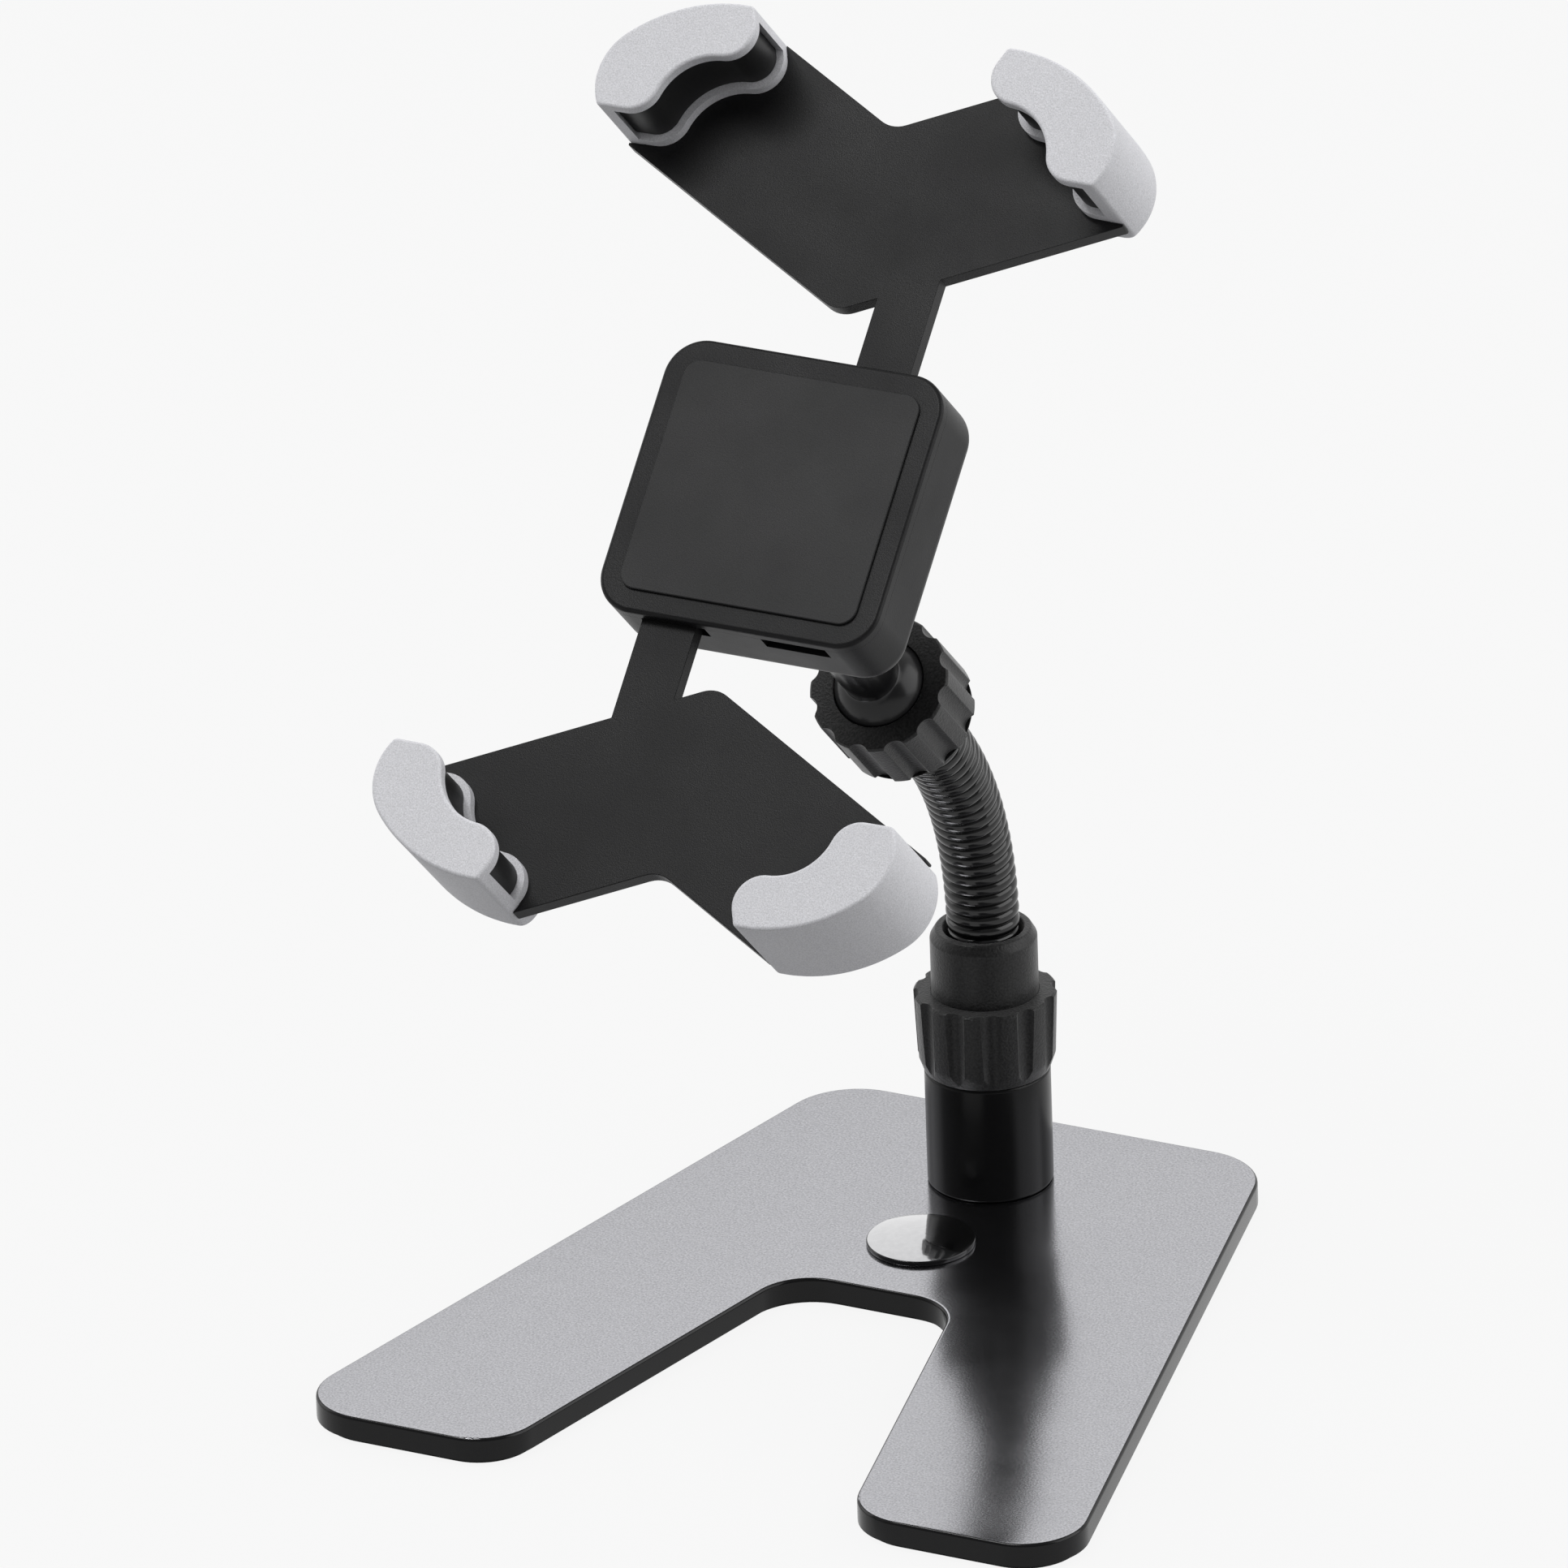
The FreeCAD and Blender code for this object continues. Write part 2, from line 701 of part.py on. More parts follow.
def build_stud(head):
    """The ball stud, one turned piece that the housing swivels on, with its washer and screw."""
    collar_front = f"({HOUSING_BACK} - turn_gap)"
    collar_back = f"({collar_front} - collar_height)"
    end = f"({JOURNAL_FRONT} + turn_gap)"
    bore = "stud_screw_radius + fit_gap"
    bore_floor = f"({end} - stud_screw_length)"
    shank = turned("ball_stud", [
        ("0", "-ball_depth"),
        ("stem_radius", "-ball_depth"),
        ("stem_radius", f"{collar_back} - collar_cone_height"),
        ("collar_radius", collar_back),
        ("collar_radius", collar_front),
        ("journal_radius", collar_front),
        ("journal_radius", end),
        (bore, end),
        (bore, bore_floor),
        ("0", bore_floor),
    ])
    stud = doc.addObject("Part::Fuse", "ball_stud")
    stud.Base = shank
    stud.Tool = sphere("ball", "ball_radius", "-ball_depth")
    doc.recompute()
    keep(stud, "ball_stud", head)
    washer_front = f"({end} + stud_washer_thickness)"
    keep(turned("stud_washer", [
        (bore, end),
        ("stud_washer_radius", end),
        ("stud_washer_radius", washer_front),
        (bore, washer_front),
    ]), "stud_washer", head)
    keep(turned("stud_screw", [
        ("0", f"{bore_floor} + stud_washer_thickness + fit_gap"),
        ("stud_screw_radius", f"{bore_floor} + stud_washer_thickness + fit_gap"),
        ("stud_screw_radius", washer_front),
        ("stud_screw_head_radius", washer_front),
        ("stud_screw_head_radius", f"{washer_front} + stud_screw_head_height"),
        ("0", f"{washer_front} + stud_screw_head_height"),
    ]), "stud_screw", head)


# Holder housing, in the head's frame

CORNERS = [(1, 1), (-1, 1), (-1, -1), (1, -1)]


def rectangle(half_width, half_height, centre="holder_rise"):
    """Return the corners of a rectangle about the holder's centre."""
    return [(f"{across} * ({half_width})", f"{centre} + {along} * ({half_height})") for across, along in CORNERS]


def housing_screw_places():
    """Return the housing's four screw places as pairs of expressions."""
    return rectangle("housing_half_width - housing_screw_inset", "housing_half_height - housing_screw_inset")


def rounded_block(name, half_width, half_height, level, height, radius):
    """Return a body that is a rectangle with round corners."""
    outline = rectangle(half_width, half_height)
    body = new_body(name)
    sketch = new_sketch(body, "XY_Plane", level)
    draw_polygon(sketch, outline)
    pad(body, sketch, height)
    places = [(value(across), value(along)) for across, along in outline]
    round_edges(body, upright_at(places), radius)
    return body


def pocket_at(body, level, height, draw, *sizes):
    """Cut a polygon or circle upwards from a level."""
    sketch = new_sketch(body, "XY_Plane", level)
    draw(sketch, *sizes)
    return pocket(body, sketch, height)


def build_housing(head):
    """The holder's housing: a back with two channels for the yokes, a cover and a rubber pad."""
    floor = f"({YOKE_BACK} - slide_gap)"
    depth = "yoke_thickness + 2 * slide_gap"
    pitch_radius = "gear_module * pinion_teeth / 2"
    guide = f"({pitch_radius} - tooth_addendum - slide_gap)"
    back = rounded_block("housing_back", "housing_half_width", "housing_half_height",
                         HOUSING_BACK, "housing_depth", "housing_corner_radius")
    round_edges(back, flat_at(value(HOUSING_BACK)), "housing_back_radius")
    reach = "housing_half_height + slide_gap"
    for side in ("", "-"):
        channel = [(f"{side}({across})", f"holder_rise + {along} * ({reach})")
                   for across, along in ((guide, -1), ("tongue_side + slide_gap", -1),
                                         ("tongue_side + slide_gap", 1), (guide, 1))]
        pocket_at(back, floor, depth, draw_polygon, channel)
    turning_room = f"{pitch_radius} + tooth_dedendum + slide_gap"
    pocket_at(back, floor, depth, draw_circle, "0", "holder_rise", turning_room)
    pocket_at(back, f"{COVER_BACK} - pin_length", "pin_length", draw_circle,
              "0", "holder_rise", "pin_radius + fit_gap")
    for across, along in housing_screw_places():
        pocket_at(back, HOUSING_BACK, "housing_depth", draw_circle,
                  across, along, "small_screw_radius + fit_gap")
        pocket_at(back, HOUSING_BACK, "housing_depth - small_screw_length + small_head_height",
                  draw_circle, across, along, "small_head_radius + turn_gap")
    pocket_at(back, HOUSING_BACK, "housing_depth", draw_circle, "0", "0", "journal_radius + fit_gap")
    pocket_at(back, JOURNAL_FRONT, "housing_depth - journal_length", draw_circle,
              "0", "0", "stud_washer_radius + slide_gap")
    keep(back, "housing_back", head)

    cover = rounded_block("housing_cover", "housing_half_width", "housing_half_height",
                          COVER_BACK, "cover_thickness", "housing_corner_radius")
    round_edges(cover, flat_at(value(f"{COVER_BACK} + cover_thickness")), "cover_edge_radius")
    for across, along in housing_screw_places():
        pocket_at(cover, COVER_BACK, "small_head_height + fit_gap", draw_circle,
                  across, along, "small_screw_radius + fit_gap")
    keep(cover, "housing_cover", head)

    screws = []
    seat = f"({COVER_BACK} - small_screw_length + small_head_height)"
    for number, (across, along) in enumerate(housing_screw_places(), start=1):
        screws.append(small_screw(f"housing_screw_{number}", across, along, seat))
    group("housing_screws", screws, head)

    rubber = rounded_block("front_pad", "housing_half_width - pad_margin", "housing_half_height - pad_margin",
                           f"{COVER_BACK} + cover_thickness", "pad_thickness", "housing_corner_radius - pad_margin")
    keep(rubber, "front_pad", head)
    pin = cylinder("pinion_pin_solid", "pin_radius", "pin_length", "0", "holder_rise", f"{COVER_BACK} - pin_length")
    group("pinion_pin", [pin], head)


# Rack and pinion

def build_pinion(head):
    """The pinion between the two racks, with short involute teeth."""
    pitch = "(gear_module * pinion_teeth / 2)"
    base = f"({pitch} * cos(pressure_angle * 1 deg))"
    root = f"({pitch} - tooth_dedendum)"
    tip = f"({pitch} + tooth_addendum)"
    half = "(pi * gear_module / 4 - tooth_backlash / 2)"
    pressure = math.radians(value("pressure_angle"))
    tip_pressure = math.acos(value(base) / value(tip))
    involute = math.tan(pressure) - pressure
    tip_involute = math.tan(tip_pressure) - tip_pressure
    level = f"({YOKE_BACK} + slide_gap / 2)"
    thickness = "yoke_thickness - slide_gap"
    body = new_body("pinion")
    sketch = new_sketch(body, "XY_Plane", level)
    draw_circle(sketch, "0", "0", root)
    pad(body, sketch, thickness)
    flank = [
        (f"{root} - tooth_dedendum", f"{half} * {root} / {pitch}"),
        (base, f"({half} / {pitch} + {involute}) * {base}"),
        (pitch, half),
        (tip, f"({half} / {pitch} + {involute - tip_involute}) * {tip}"),
    ]
    sketch = new_sketch(body, "XY_Plane", level)
    draw_polygon(sketch, flank + [(across, f"-({along})") for across, along in reversed(flank)])
    tooth = pad(body, sketch, thickness)
    pattern(body, "PolarPattern", tooth, "Z_Axis", "pinion_teeth")
    doc.recompute()
    pocket_at(body, level, thickness, draw_circle, "0", "0", "pin_radius + fit_gap")
    centre = FreeCAD.Placement(Vector(0, value("holder_rise"), 0), FreeCAD.Rotation())
    keep(body, "pinion", head.multiply(centre))


CLAW_BACK = "(claw_reach - claw_height)"
NEAR_CORNER = "shoulder_radius * (cos(shoulder_turn * 1 deg) + sin(shoulder_turn * 1 deg) - 1)"
ARM_END = f"(claw_across + (crown_across + crown_height + {NEAR_CORNER}) * sqrt(0.5))"
ARM_SLOPE = "tan(arm_angle * 1 deg)"


def claw_screw_places(side):
    """Return the screw places of one claw in the yoke's plane as pairs of expressions."""
    places = []
    for sign in (-1, 1):
        tangent = f"({sign} * claw_screw_across * sqrt(0.5))"
        inward = "(claw_screw_inside * sqrt(0.5))"
        places.append((f"{side} * (claw_across + {tangent} - {inward})", f"claw_along - {tangent} - {inward}"))
    return places


def build_yoke(name, head, turn):
    """One chevron yoke: two arms that end in the claws, and a tongue with a rack that runs in the housing."""
    high = (ARM_END, f"(arm_outer_vertex + {ARM_END} * {ARM_SLOPE})")
    low = (ARM_END, f"(arm_inner_vertex + {ARM_END} * {ARM_SLOPE})")
    body = new_body(name)
    sketch = new_sketch(body, "XY_Plane", YOKE_BACK)
    draw_polygon(sketch, [("0", "arm_outer_vertex"), high, low, ("0", "arm_inner_vertex"),
                          (f"-{low[0]}", low[1]), (f"-{high[0]}", high[1])])
    pad(body, sketch, "yoke_thickness")
    vertices = [(0, value("arm_outer_vertex")), (0, value("arm_inner_vertex"))]
    round_edges(body, upright_at(vertices), "arm_vertex_radius")

    tongue_top = "((arm_inner_vertex + arm_outer_vertex) / 2)"
    pitch_line = "(gear_module * pinion_teeth / 2)"
    root = f"({pitch_line} + tooth_dedendum)"
    tip = f"({pitch_line} - tooth_addendum)"
    sketch = new_sketch(body, "XY_Plane", YOKE_BACK)
    draw_polygon(sketch, [(root, "-tongue_end"), ("tongue_side", "-tongue_end"),
                          ("tongue_side", tongue_top), (root, tongue_top)])
    pad(body, sketch, "yoke_thickness")
    tooth_pitch = "(pi * gear_module)"
    half = "(pi * gear_module / 4 - tooth_backlash / 2)"
    lean = "tan(pressure_angle * 1 deg)"
    middle = f"(0.5 - floor(tongue_end / {tooth_pitch} + 0.2)) * {tooth_pitch}"
    sketch = new_sketch(body, "XY_Plane", YOKE_BACK)
    wide = f"({half} + tooth_dedendum * {lean})"
    narrow = f"({half} - tooth_addendum * {lean})"
    overlap = f"({root} + tooth_dedendum)"
    draw_polygon(sketch, [(overlap, f"{middle} - {wide}"), (root, f"{middle} - {wide}"),
                          (tip, f"{middle} - {narrow}"), (tip, f"{middle} + {narrow}"),
                          (root, f"{middle} + {wide}"), (overlap, f"{middle} + {wide}")])
    tooth = pad(body, sketch, "yoke_thickness")
    rack = pattern(body, "LinearPattern", tooth, "Y_Axis", "rack_teeth")
    rack.setExpression("Length", bound(f"(rack_teeth - 1) * {tooth_pitch}"))
    doc.recompute()

    for side in ("1", "-1"):
        for across, along in claw_screw_places(side):
            pocket_at(body, YOKE_BACK, "yoke_thickness", draw_circle,
                      across, along, "small_screw_radius + fit_gap")
    ends = []
    for side in (1, -1):
        place = claw_place(side, 1)
        ends.append(raised(f"{name}_end_{len(ends) + 1}", beyond_arm(side), YOKE_BACK, "yoke_thickness", place))
    centre = FreeCAD.Placement(Vector(0, value("holder_rise"), 0), FreeCAD.Rotation(UP, turn))
    keep(cut(name, body, *ends), name, head.multiply(centre))


# Claws

def polar(centre, radius, angle):
    """Return the point of a circle at an angle in degrees."""
    turn = math.radians(angle)
    return centre + Vector(math.cos(turn), math.sin(turn), 0) * radius


def flipped(point):
    """Return a point of the claw's plane mirrored across its middle."""
    return Vector(-point.x, point.y, 0)


def claw_arcs(inset):
    """Return centre and radius of the claw's long crown arc and of its tighter shoulder arc."""
    crown = Vector(value("crown_across"), value("crown_height - crown_radius"), 0)
    shoulder = Vector(value("crown_across"), value("crown_height - shoulder_radius"), 0)
    return crown, value("crown_radius") - inset, shoulder, value("shoulder_radius") - inset


def claw_lobes():
    """Return the centres of the lobes at the claw's far end and at its near end."""
    far = Vector(-value("far_lobe_across"), value("far_lobe_height"), 0)
    near = Vector(value("near_lobe_across"), value("near_lobe_height"), 0)
    return far, near


def claw_end(corner, lobe, inset, centre, radius):
    """Return where one end's straight line meets an outer arc, and where it touches its lobe.

    The line runs from the claw's outer corner to the lobe and is drawn in by an inset.
    """
    to_lobe = lobe - corner
    spread = math.asin(value("lobe_radius") / to_lobe.Length)
    direction = FreeCAD.Rotation(UP, math.degrees(spread)).multVec(to_lobe).normalize()
    side = Vector(-direction.y, direction.x, 0)
    touch = lobe + side * (value("lobe_radius") - inset)
    reach = touch - centre
    along = reach.dot(direction)
    step = -along - math.sqrt(along ** 2 - reach.dot(reach) + radius ** 2)
    return touch + direction * step, touch


def claw_ends(outer_inset, inner_inset):
    """Return outer corner and touching point of the claw's far end and of its near end."""
    crown, crown_radius, shoulder, shoulder_radius = claw_arcs(0)
    far_corner = polar(crown, crown_radius, 90 + value("crown_turn"))
    near_corner = polar(shoulder, shoulder_radius, value("shoulder_turn"))
    far_lobe, near_lobe = claw_lobes()
    far = claw_end(flipped(far_corner), flipped(far_lobe), inner_inset, flipped(crown), crown_radius - outer_inset)
    near = claw_end(near_corner, near_lobe, inner_inset, shoulder, shoulder_radius - outer_inset)
    return [flipped(point) for point in far] + list(near)


def claw_curves(inset, far_corner, near_corner):
    """Return the outer arcs between two corners as point triples, drawn in by an inset."""
    crown, crown_radius, shoulder, shoulder_radius = claw_arcs(inset)
    top = crown + Vector(0, crown_radius, 0)
    far = math.degrees(math.atan2(far_corner.y - crown.y, far_corner.x - crown.x))
    near = math.degrees(math.atan2(near_corner.y - shoulder.y, near_corner.x - shoulder.x))
    return [(far_corner, polar(crown, crown_radius, (far + 90) / 2), top),
            (top, polar(shoulder, shoulder_radius, (90 + near) / 2), near_corner)]


def face_of(pieces, hand):
    """Return the face inside lines, given by two points, and arcs, given by three; a hand of -1 mirrors it."""
    edges = []
    for piece in pieces:
        points = [point if hand > 0 else flipped(point) for point in piece]
        curve = Part.LineSegment(*points) if len(points) == 2 else Part.Arc(*points)
        edges.append(curve.toShape())
    return Part.Face(Part.Wire(edges))


def claw_outline(hand, outer_inset, inner_inset):
    """Return the bean-shaped face of a claw, or of its insert, in the claw's own plane.

    X runs along the chord and Y outwards. Two round lobes flank a hollow waist, each end runs straight
    from the outer corner to the lobe that it touches, and a crown and a shoulder arc close it outside.
    """
    far_corner, far_touch, near_corner, near_touch = claw_ends(outer_inset, inner_inset)
    far_lobe, near_lobe = claw_lobes()
    lobe_radius = value("lobe_radius") - inner_inset
    waist_radius = value("waist_radius") + inner_inset
    half = (near_lobe - far_lobe) * 0.5
    down = Vector(half.y, -half.x, 0).normalize()
    waist = far_lobe + half + down * math.sqrt((lobe_radius + waist_radius) ** 2 - half.dot(half))

    def lobe_arc(lobe, touch):
        """Return a lobe's arc from where its end's line touches it to where the waist does."""
        to_waist = (waist - lobe).normalize()
        between = ((touch - lobe).normalize() + to_waist).normalize()
        return touch, lobe + between * lobe_radius, lobe + to_waist * lobe_radius

    near_arc = lobe_arc(near_lobe, near_touch)
    far_arc = lobe_arc(far_lobe, far_touch)
    pieces = claw_curves(outer_inset, far_corner, near_corner)
    pieces.append((near_corner, near_touch))
    pieces.append(near_arc)
    pieces.append((near_arc[2], waist - down * waist_radius, far_arc[2]))
    pieces.append(tuple(reversed(far_arc)))
    pieces.append((far_touch, far_corner))
    return face_of(pieces, hand)


def claw_room(hand, inset):
    """Return the face inside the claw's outer wall, open at both ends and towards the phone."""
    crown, crown_radius, shoulder, shoulder_radius = claw_arcs(inset)
    far = polar(crown, crown_radius, 90 + 1.5 * value("crown_turn"))
    near = polar(shoulder, shoulder_radius, -value("shoulder_turn"))
    near_below = Vector(near.x, crown.y, 0)
    far_below = Vector(far.x, crown.y, 0)
    pieces = claw_curves(inset, far, near)
    pieces += [(near, near_below), (near_below, far_below), (far_below, far)]
    return face_of(pieces, hand)


def beyond_arm(hand):
    """Return the face past an arm's end: the claw's outer wall and the space outside it, with a gap."""
    gap = value("turn_gap")
    inset = value("claw_wall") + gap
    far, far_touch, near, near_touch = claw_ends(inset, -gap)
    reach = value("crown_radius")
    far_out = far + (far - far_touch).normalize() * reach
    near_out = near + (near - near_touch).normalize() * reach
    far_top = Vector(far_out.x, 2 * reach, 0)
    near_top = Vector(near_out.x, 2 * reach, 0)
    pieces = claw_curves(inset, far, near)
    pieces += [(near, near_out), (near_out, near_top), (near_top, far_top), (far_top, far_out), (far_out, far)]
    return face_of(pieces, hand)


def raised(name, face, level, height, place=FreeCAD.Placement()):
    """Return a face raised to a height from a level, in a place of its own."""
    outline = doc.addObject("Part::Feature", name + "_outline")
    outline.Shape = face
    outline.Placement = place.multiply(FreeCAD.Placement(UP * value(level), FreeCAD.Rotation()))
    solid = doc.addObject("Part::Extrusion", name + "_raised")
    solid.Base = outline
    solid.DirMode = "Custom"
    solid.Dir = UP
    solid.Solid = True
    solid.setExpression("LengthFwd", bound(height))
    return solid


def round_solid(name, base, chosen, radius):
    """Return a solid with the edges that a test picks out rounded."""
    doc.recompute()
    feature = doc.addObject("Part::Fillet", name)
    feature.Base = base
    feature.Edges = [(number, radius, radius) for number, edge in enumerate(base.Shape.Edges, start=1) if chosen(edge)]
    doc.recompute()
    return feature


def outer_arc_at(level):
    """Return a test for the claw's outer arcs at a level."""
    flat = flat_at(level)
    radii = (value("crown_radius"), value("shoulder_radius"))

    def chosen(edge):
        return flat(edge) and any(abs(getattr(edge.Curve, "Radius", 0) - radius) < 1e-6 for radius in radii)
    return chosen


def claw_place(across, along):
    """Return the place of a claw's own plane in the holder's plane."""
    turn = math.degrees(math.atan2(-across, along))
    point = Vector(across * value("claw_across"), along * value("claw_along"), 0)
    return FreeCAD.Placement(point, FreeCAD.Rotation(UP, turn))


def build_claw(corner, head, across, along):
    """One claw: a lip, an outer wall, a foot and a floor, with the arm let in below and the rubber insert above."""
    name = "claw_" + corner
    hand = across * along
    foot_front = f"({YOKE_FRONT} + claw_foot)"
    lip_back = "(claw_reach - claw_lip)"
    blank = raised(name, claw_outline(hand, 0, 0), CLAW_BACK, "claw_height")
    blank = round_solid(name + "_base", blank, outer_arc_at(value(CLAW_BACK)), value("claw_base_radius"))
    far, _, near, _ = claw_ends(0, 0)
    corners = [(hand * far.x, far.y), (hand * near.x, near.y)]
    blank = round_solid(name + "_corners", blank, upright_at(corners), value("claw_corner_radius"))
    blank = round_solid(name + "_top", blank, flat_at(value("claw_reach")), value("claw_top_radius"))
    room = claw_room(hand, value("claw_wall"))
    tools = [raised(name + "_room", room, foot_front, f"{lip_back} - {foot_front}"),
             raised(name + "_slot", room, YOKE_BACK, "yoke_thickness")]
    for number, side in enumerate(("", "-"), start=1):
        hole = (f"{side}claw_screw_across", "-claw_screw_inside", CLAW_BACK)
        tools.append(cylinder(f"{name}_hole_{number}", "small_screw_radius + fit_gap",
                              "claw_floor + yoke_thickness + claw_foot", *hole))
        tools.append(cylinder(f"{name}_recess_{number}", "small_head_radius + turn_gap", "claw_screw_recess", *hole))
    centre = FreeCAD.Placement(Vector(0, value("holder_rise"), 0), FreeCAD.Rotation())
    frame = head.multiply(centre).multiply(claw_place(across, along))
    keep(cut(name, blank, *tools), name, frame)

    face = claw_outline(hand, value("claw_wall + fit_gap"), value("insert_inset"))
    rubber = raised("insert_" + corner, face, foot_front, f"{lip_back} - {foot_front}")
    doc.recompute()
    group("insert_" + corner, [rubber], frame)


def build_claw_screws(name, head, turn):
    """The four screws that hold one yoke's two claws, let in from behind."""
    screws = []
    for side in ("1", "-1"):
        for across, along in claw_screw_places(side):
            head_seat = f"({CLAW_BACK} + claw_screw_recess)"
            label = f"{name}_{len(screws) + 1}"
            solid = small_screw(label, across, along, head_seat)
            solid.Tool.setExpression("Height", bound("claw_floor - claw_screw_recess + yoke_thickness + claw_foot"))
            screws.append(solid)
    centre = FreeCAD.Placement(Vector(0, value("holder_rise"), 0), FreeCAD.Rotation(UP, turn))
    group(name, screws, head.multiply(centre))


def build_all():
    """Build every sub-part in the order that they stand on each other."""
    build_plate()
    build_badge()
    build_post()
    build_post_screw()
    build_washer()
    build_lower_nut()
    build_ferrule()
    build_gooseneck()
    head = head_frame()
    build_socket(head)
    build_upper_nut(head)
    build_liner(head)
    build_stud(head)
    build_housing(head)
    build_pinion(head)
    for level, turn, along in (("upper", 0, 1), ("lower", 180, -1)):
        build_yoke(level + "_yoke", head, turn)
        build_claw_screws(level + "_claw_screws", head, turn)
        for side, across in (("left", -1), ("right", 1)):
            build_claw(f"{level}_{side}", head, across, along)


def check_all():
    """Stop if any object failed or any sub-part has no sound shape."""
    for item in doc.Objects:
        if "Invalid" in item.State or "Error" in item.State:
            raise RuntimeError(f"{item.Label} failed: {item.State}")
    for item in sub_parts:
        if item.Shape.isNull() or not item.Shape.isValid() or not item.Shape.Solids:
            raise RuntimeError(f"{item.Label} has no sound shape")


build_all()
doc.recompute()
check_all()
os.makedirs("parts", exist_ok=True)
for sub_part in sub_parts:
    sub_part.Shape.exportStep(f"parts/{sub_part.Label}.step")
    box = sub_part.Shape.BoundBox
    print(f"{sub_part.Label}: {len(sub_part.Shape.Solids)} solids, {sub_part.Shape.Volume:.0f} mm3,"
          f" z {box.ZMin:.2f} to {box.ZMax:.2f}")
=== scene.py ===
"""Dresses the desk phone stand: finishes, finer meshes, light and the photograph's camera.

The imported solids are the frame. Each visible solid gets a finer, softly edged copy in its place,
and the gooseneck's rings and the screws are made by Geometry Nodes. All lengths are in metres.
"""
import json
import logging
import math
from dataclasses import dataclass
from enum import Enum

import bmesh
import bpy
import numpy
from mathutils import Matrix, Vector


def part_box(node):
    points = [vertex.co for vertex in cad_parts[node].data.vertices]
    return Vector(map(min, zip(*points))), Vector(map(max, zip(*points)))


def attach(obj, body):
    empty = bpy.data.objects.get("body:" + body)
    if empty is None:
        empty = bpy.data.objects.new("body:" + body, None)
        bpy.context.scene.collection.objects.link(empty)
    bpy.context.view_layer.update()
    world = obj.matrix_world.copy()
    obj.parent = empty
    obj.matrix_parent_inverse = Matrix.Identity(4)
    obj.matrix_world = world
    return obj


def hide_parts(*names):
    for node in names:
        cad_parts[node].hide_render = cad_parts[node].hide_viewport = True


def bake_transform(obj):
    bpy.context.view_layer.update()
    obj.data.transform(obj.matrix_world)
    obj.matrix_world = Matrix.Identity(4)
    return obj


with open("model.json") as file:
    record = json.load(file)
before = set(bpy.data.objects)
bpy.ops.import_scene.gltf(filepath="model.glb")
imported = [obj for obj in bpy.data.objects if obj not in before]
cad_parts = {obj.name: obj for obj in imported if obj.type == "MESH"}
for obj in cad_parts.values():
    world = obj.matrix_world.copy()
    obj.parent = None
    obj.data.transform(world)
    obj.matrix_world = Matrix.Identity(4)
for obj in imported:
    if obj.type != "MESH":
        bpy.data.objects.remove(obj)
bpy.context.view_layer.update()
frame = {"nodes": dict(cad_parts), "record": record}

MM = 0.001
LOG = logging.getLogger("phone_stand")
JOIN_DISTANCE = 0.002 * MM


class Grain(Enum):
    """How coarse the texture moulded or sprayed into a surface is, as noise cells per metre."""

    SPRAYED = 900.0
    MOULDED = 2600.0
    FINE = 4200.0


@dataclass(frozen=True)
class Finish:
    """One surface finish.

    Attributes:
        slot: The record's material slot that the finish belongs to.
        colour: Linear base colour.
        roughness: Lowest and highest roughness over the surface.
        grain: How coarse the grain is.
        depth: Height of the grain, in metres.
        mottle_and_glints: Share by which the grain darkens and lightens the colour; on grained
            black its pale flecks are painted glints.
        metallic: Metallic share.
        specular: Strength of the mirror reflection of a surface that isn't metal.
        edge_tint: Brightness of the mirror reflection at the edges, which lacquer lowers.
        sheen: Weight of the pale bloom that a grained surface shows at its edges.
        sheen_roughness: Roughness of that bloom.
        coat: Weight of a clear coat.
        coat_roughness: Roughness of the clear coat.
    """

    slot: str
    colour: tuple[float, float, float]
    roughness: tuple[float, float]
    grain: Grain
    depth: float
    mottle_and_glints: float
    metallic: float = 0.0
    specular: float = 0.5
    edge_tint: float = 1.0
    sheen: float = 0.0
    sheen_roughness: float = 0.35
    coat: float = 0.0
    coat_roughness: float = 0.05


def grey(level: float) -> tuple[float, float, float, float]:
    """Return an opaque grey of a level."""
    return level, level, level, 1.0


# The plate's upward faces get a bright metal and its other faces a near-black copy. These are lit
# and shaded copies of the one plate: painted reflection on the top, painted shade on the edges.
PLATE_LIT_TOP = Finish(
    "plate_finish", (0.517, 0.517, 0.541), (0.14, 0.18), Grain.MOULDED, depth=0.006 * MM,
    mottle_and_glints=0.2, metallic=1.0, edge_tint=0.6)
PLATE_SHADED_EDGE = Finish(
    "plate_finish", (0.006, 0.006, 0.0065), (0.14, 0.2), Grain.SPRAYED, depth=0.003 * MM,
    mottle_and_glints=0.1, specular=0.2)
POST_GLOSS = Finish(
    "post_finish", (0.004, 0.004, 0.0042), (0.22, 0.28), Grain.SPRAYED, depth=0.002 * MM,
    mottle_and_glints=0.08, specular=0.16)
SHEET_RUBBER = Finish(
    "sheet_rubber", (0.02, 0.02, 0.02), (0.7, 0.85), Grain.MOULDED, depth=0.03 * MM,
    mottle_and_glints=0.12, specular=0.3)
BADGE_FOIL = Finish(
    "badge_clear", (0.62, 0.62, 0.63), (0.05, 0.09), Grain.SPRAYED, depth=0.001 * MM,
    mottle_and_glints=0.04, metallic=1.0, coat=1.0, coat_roughness=0.02)
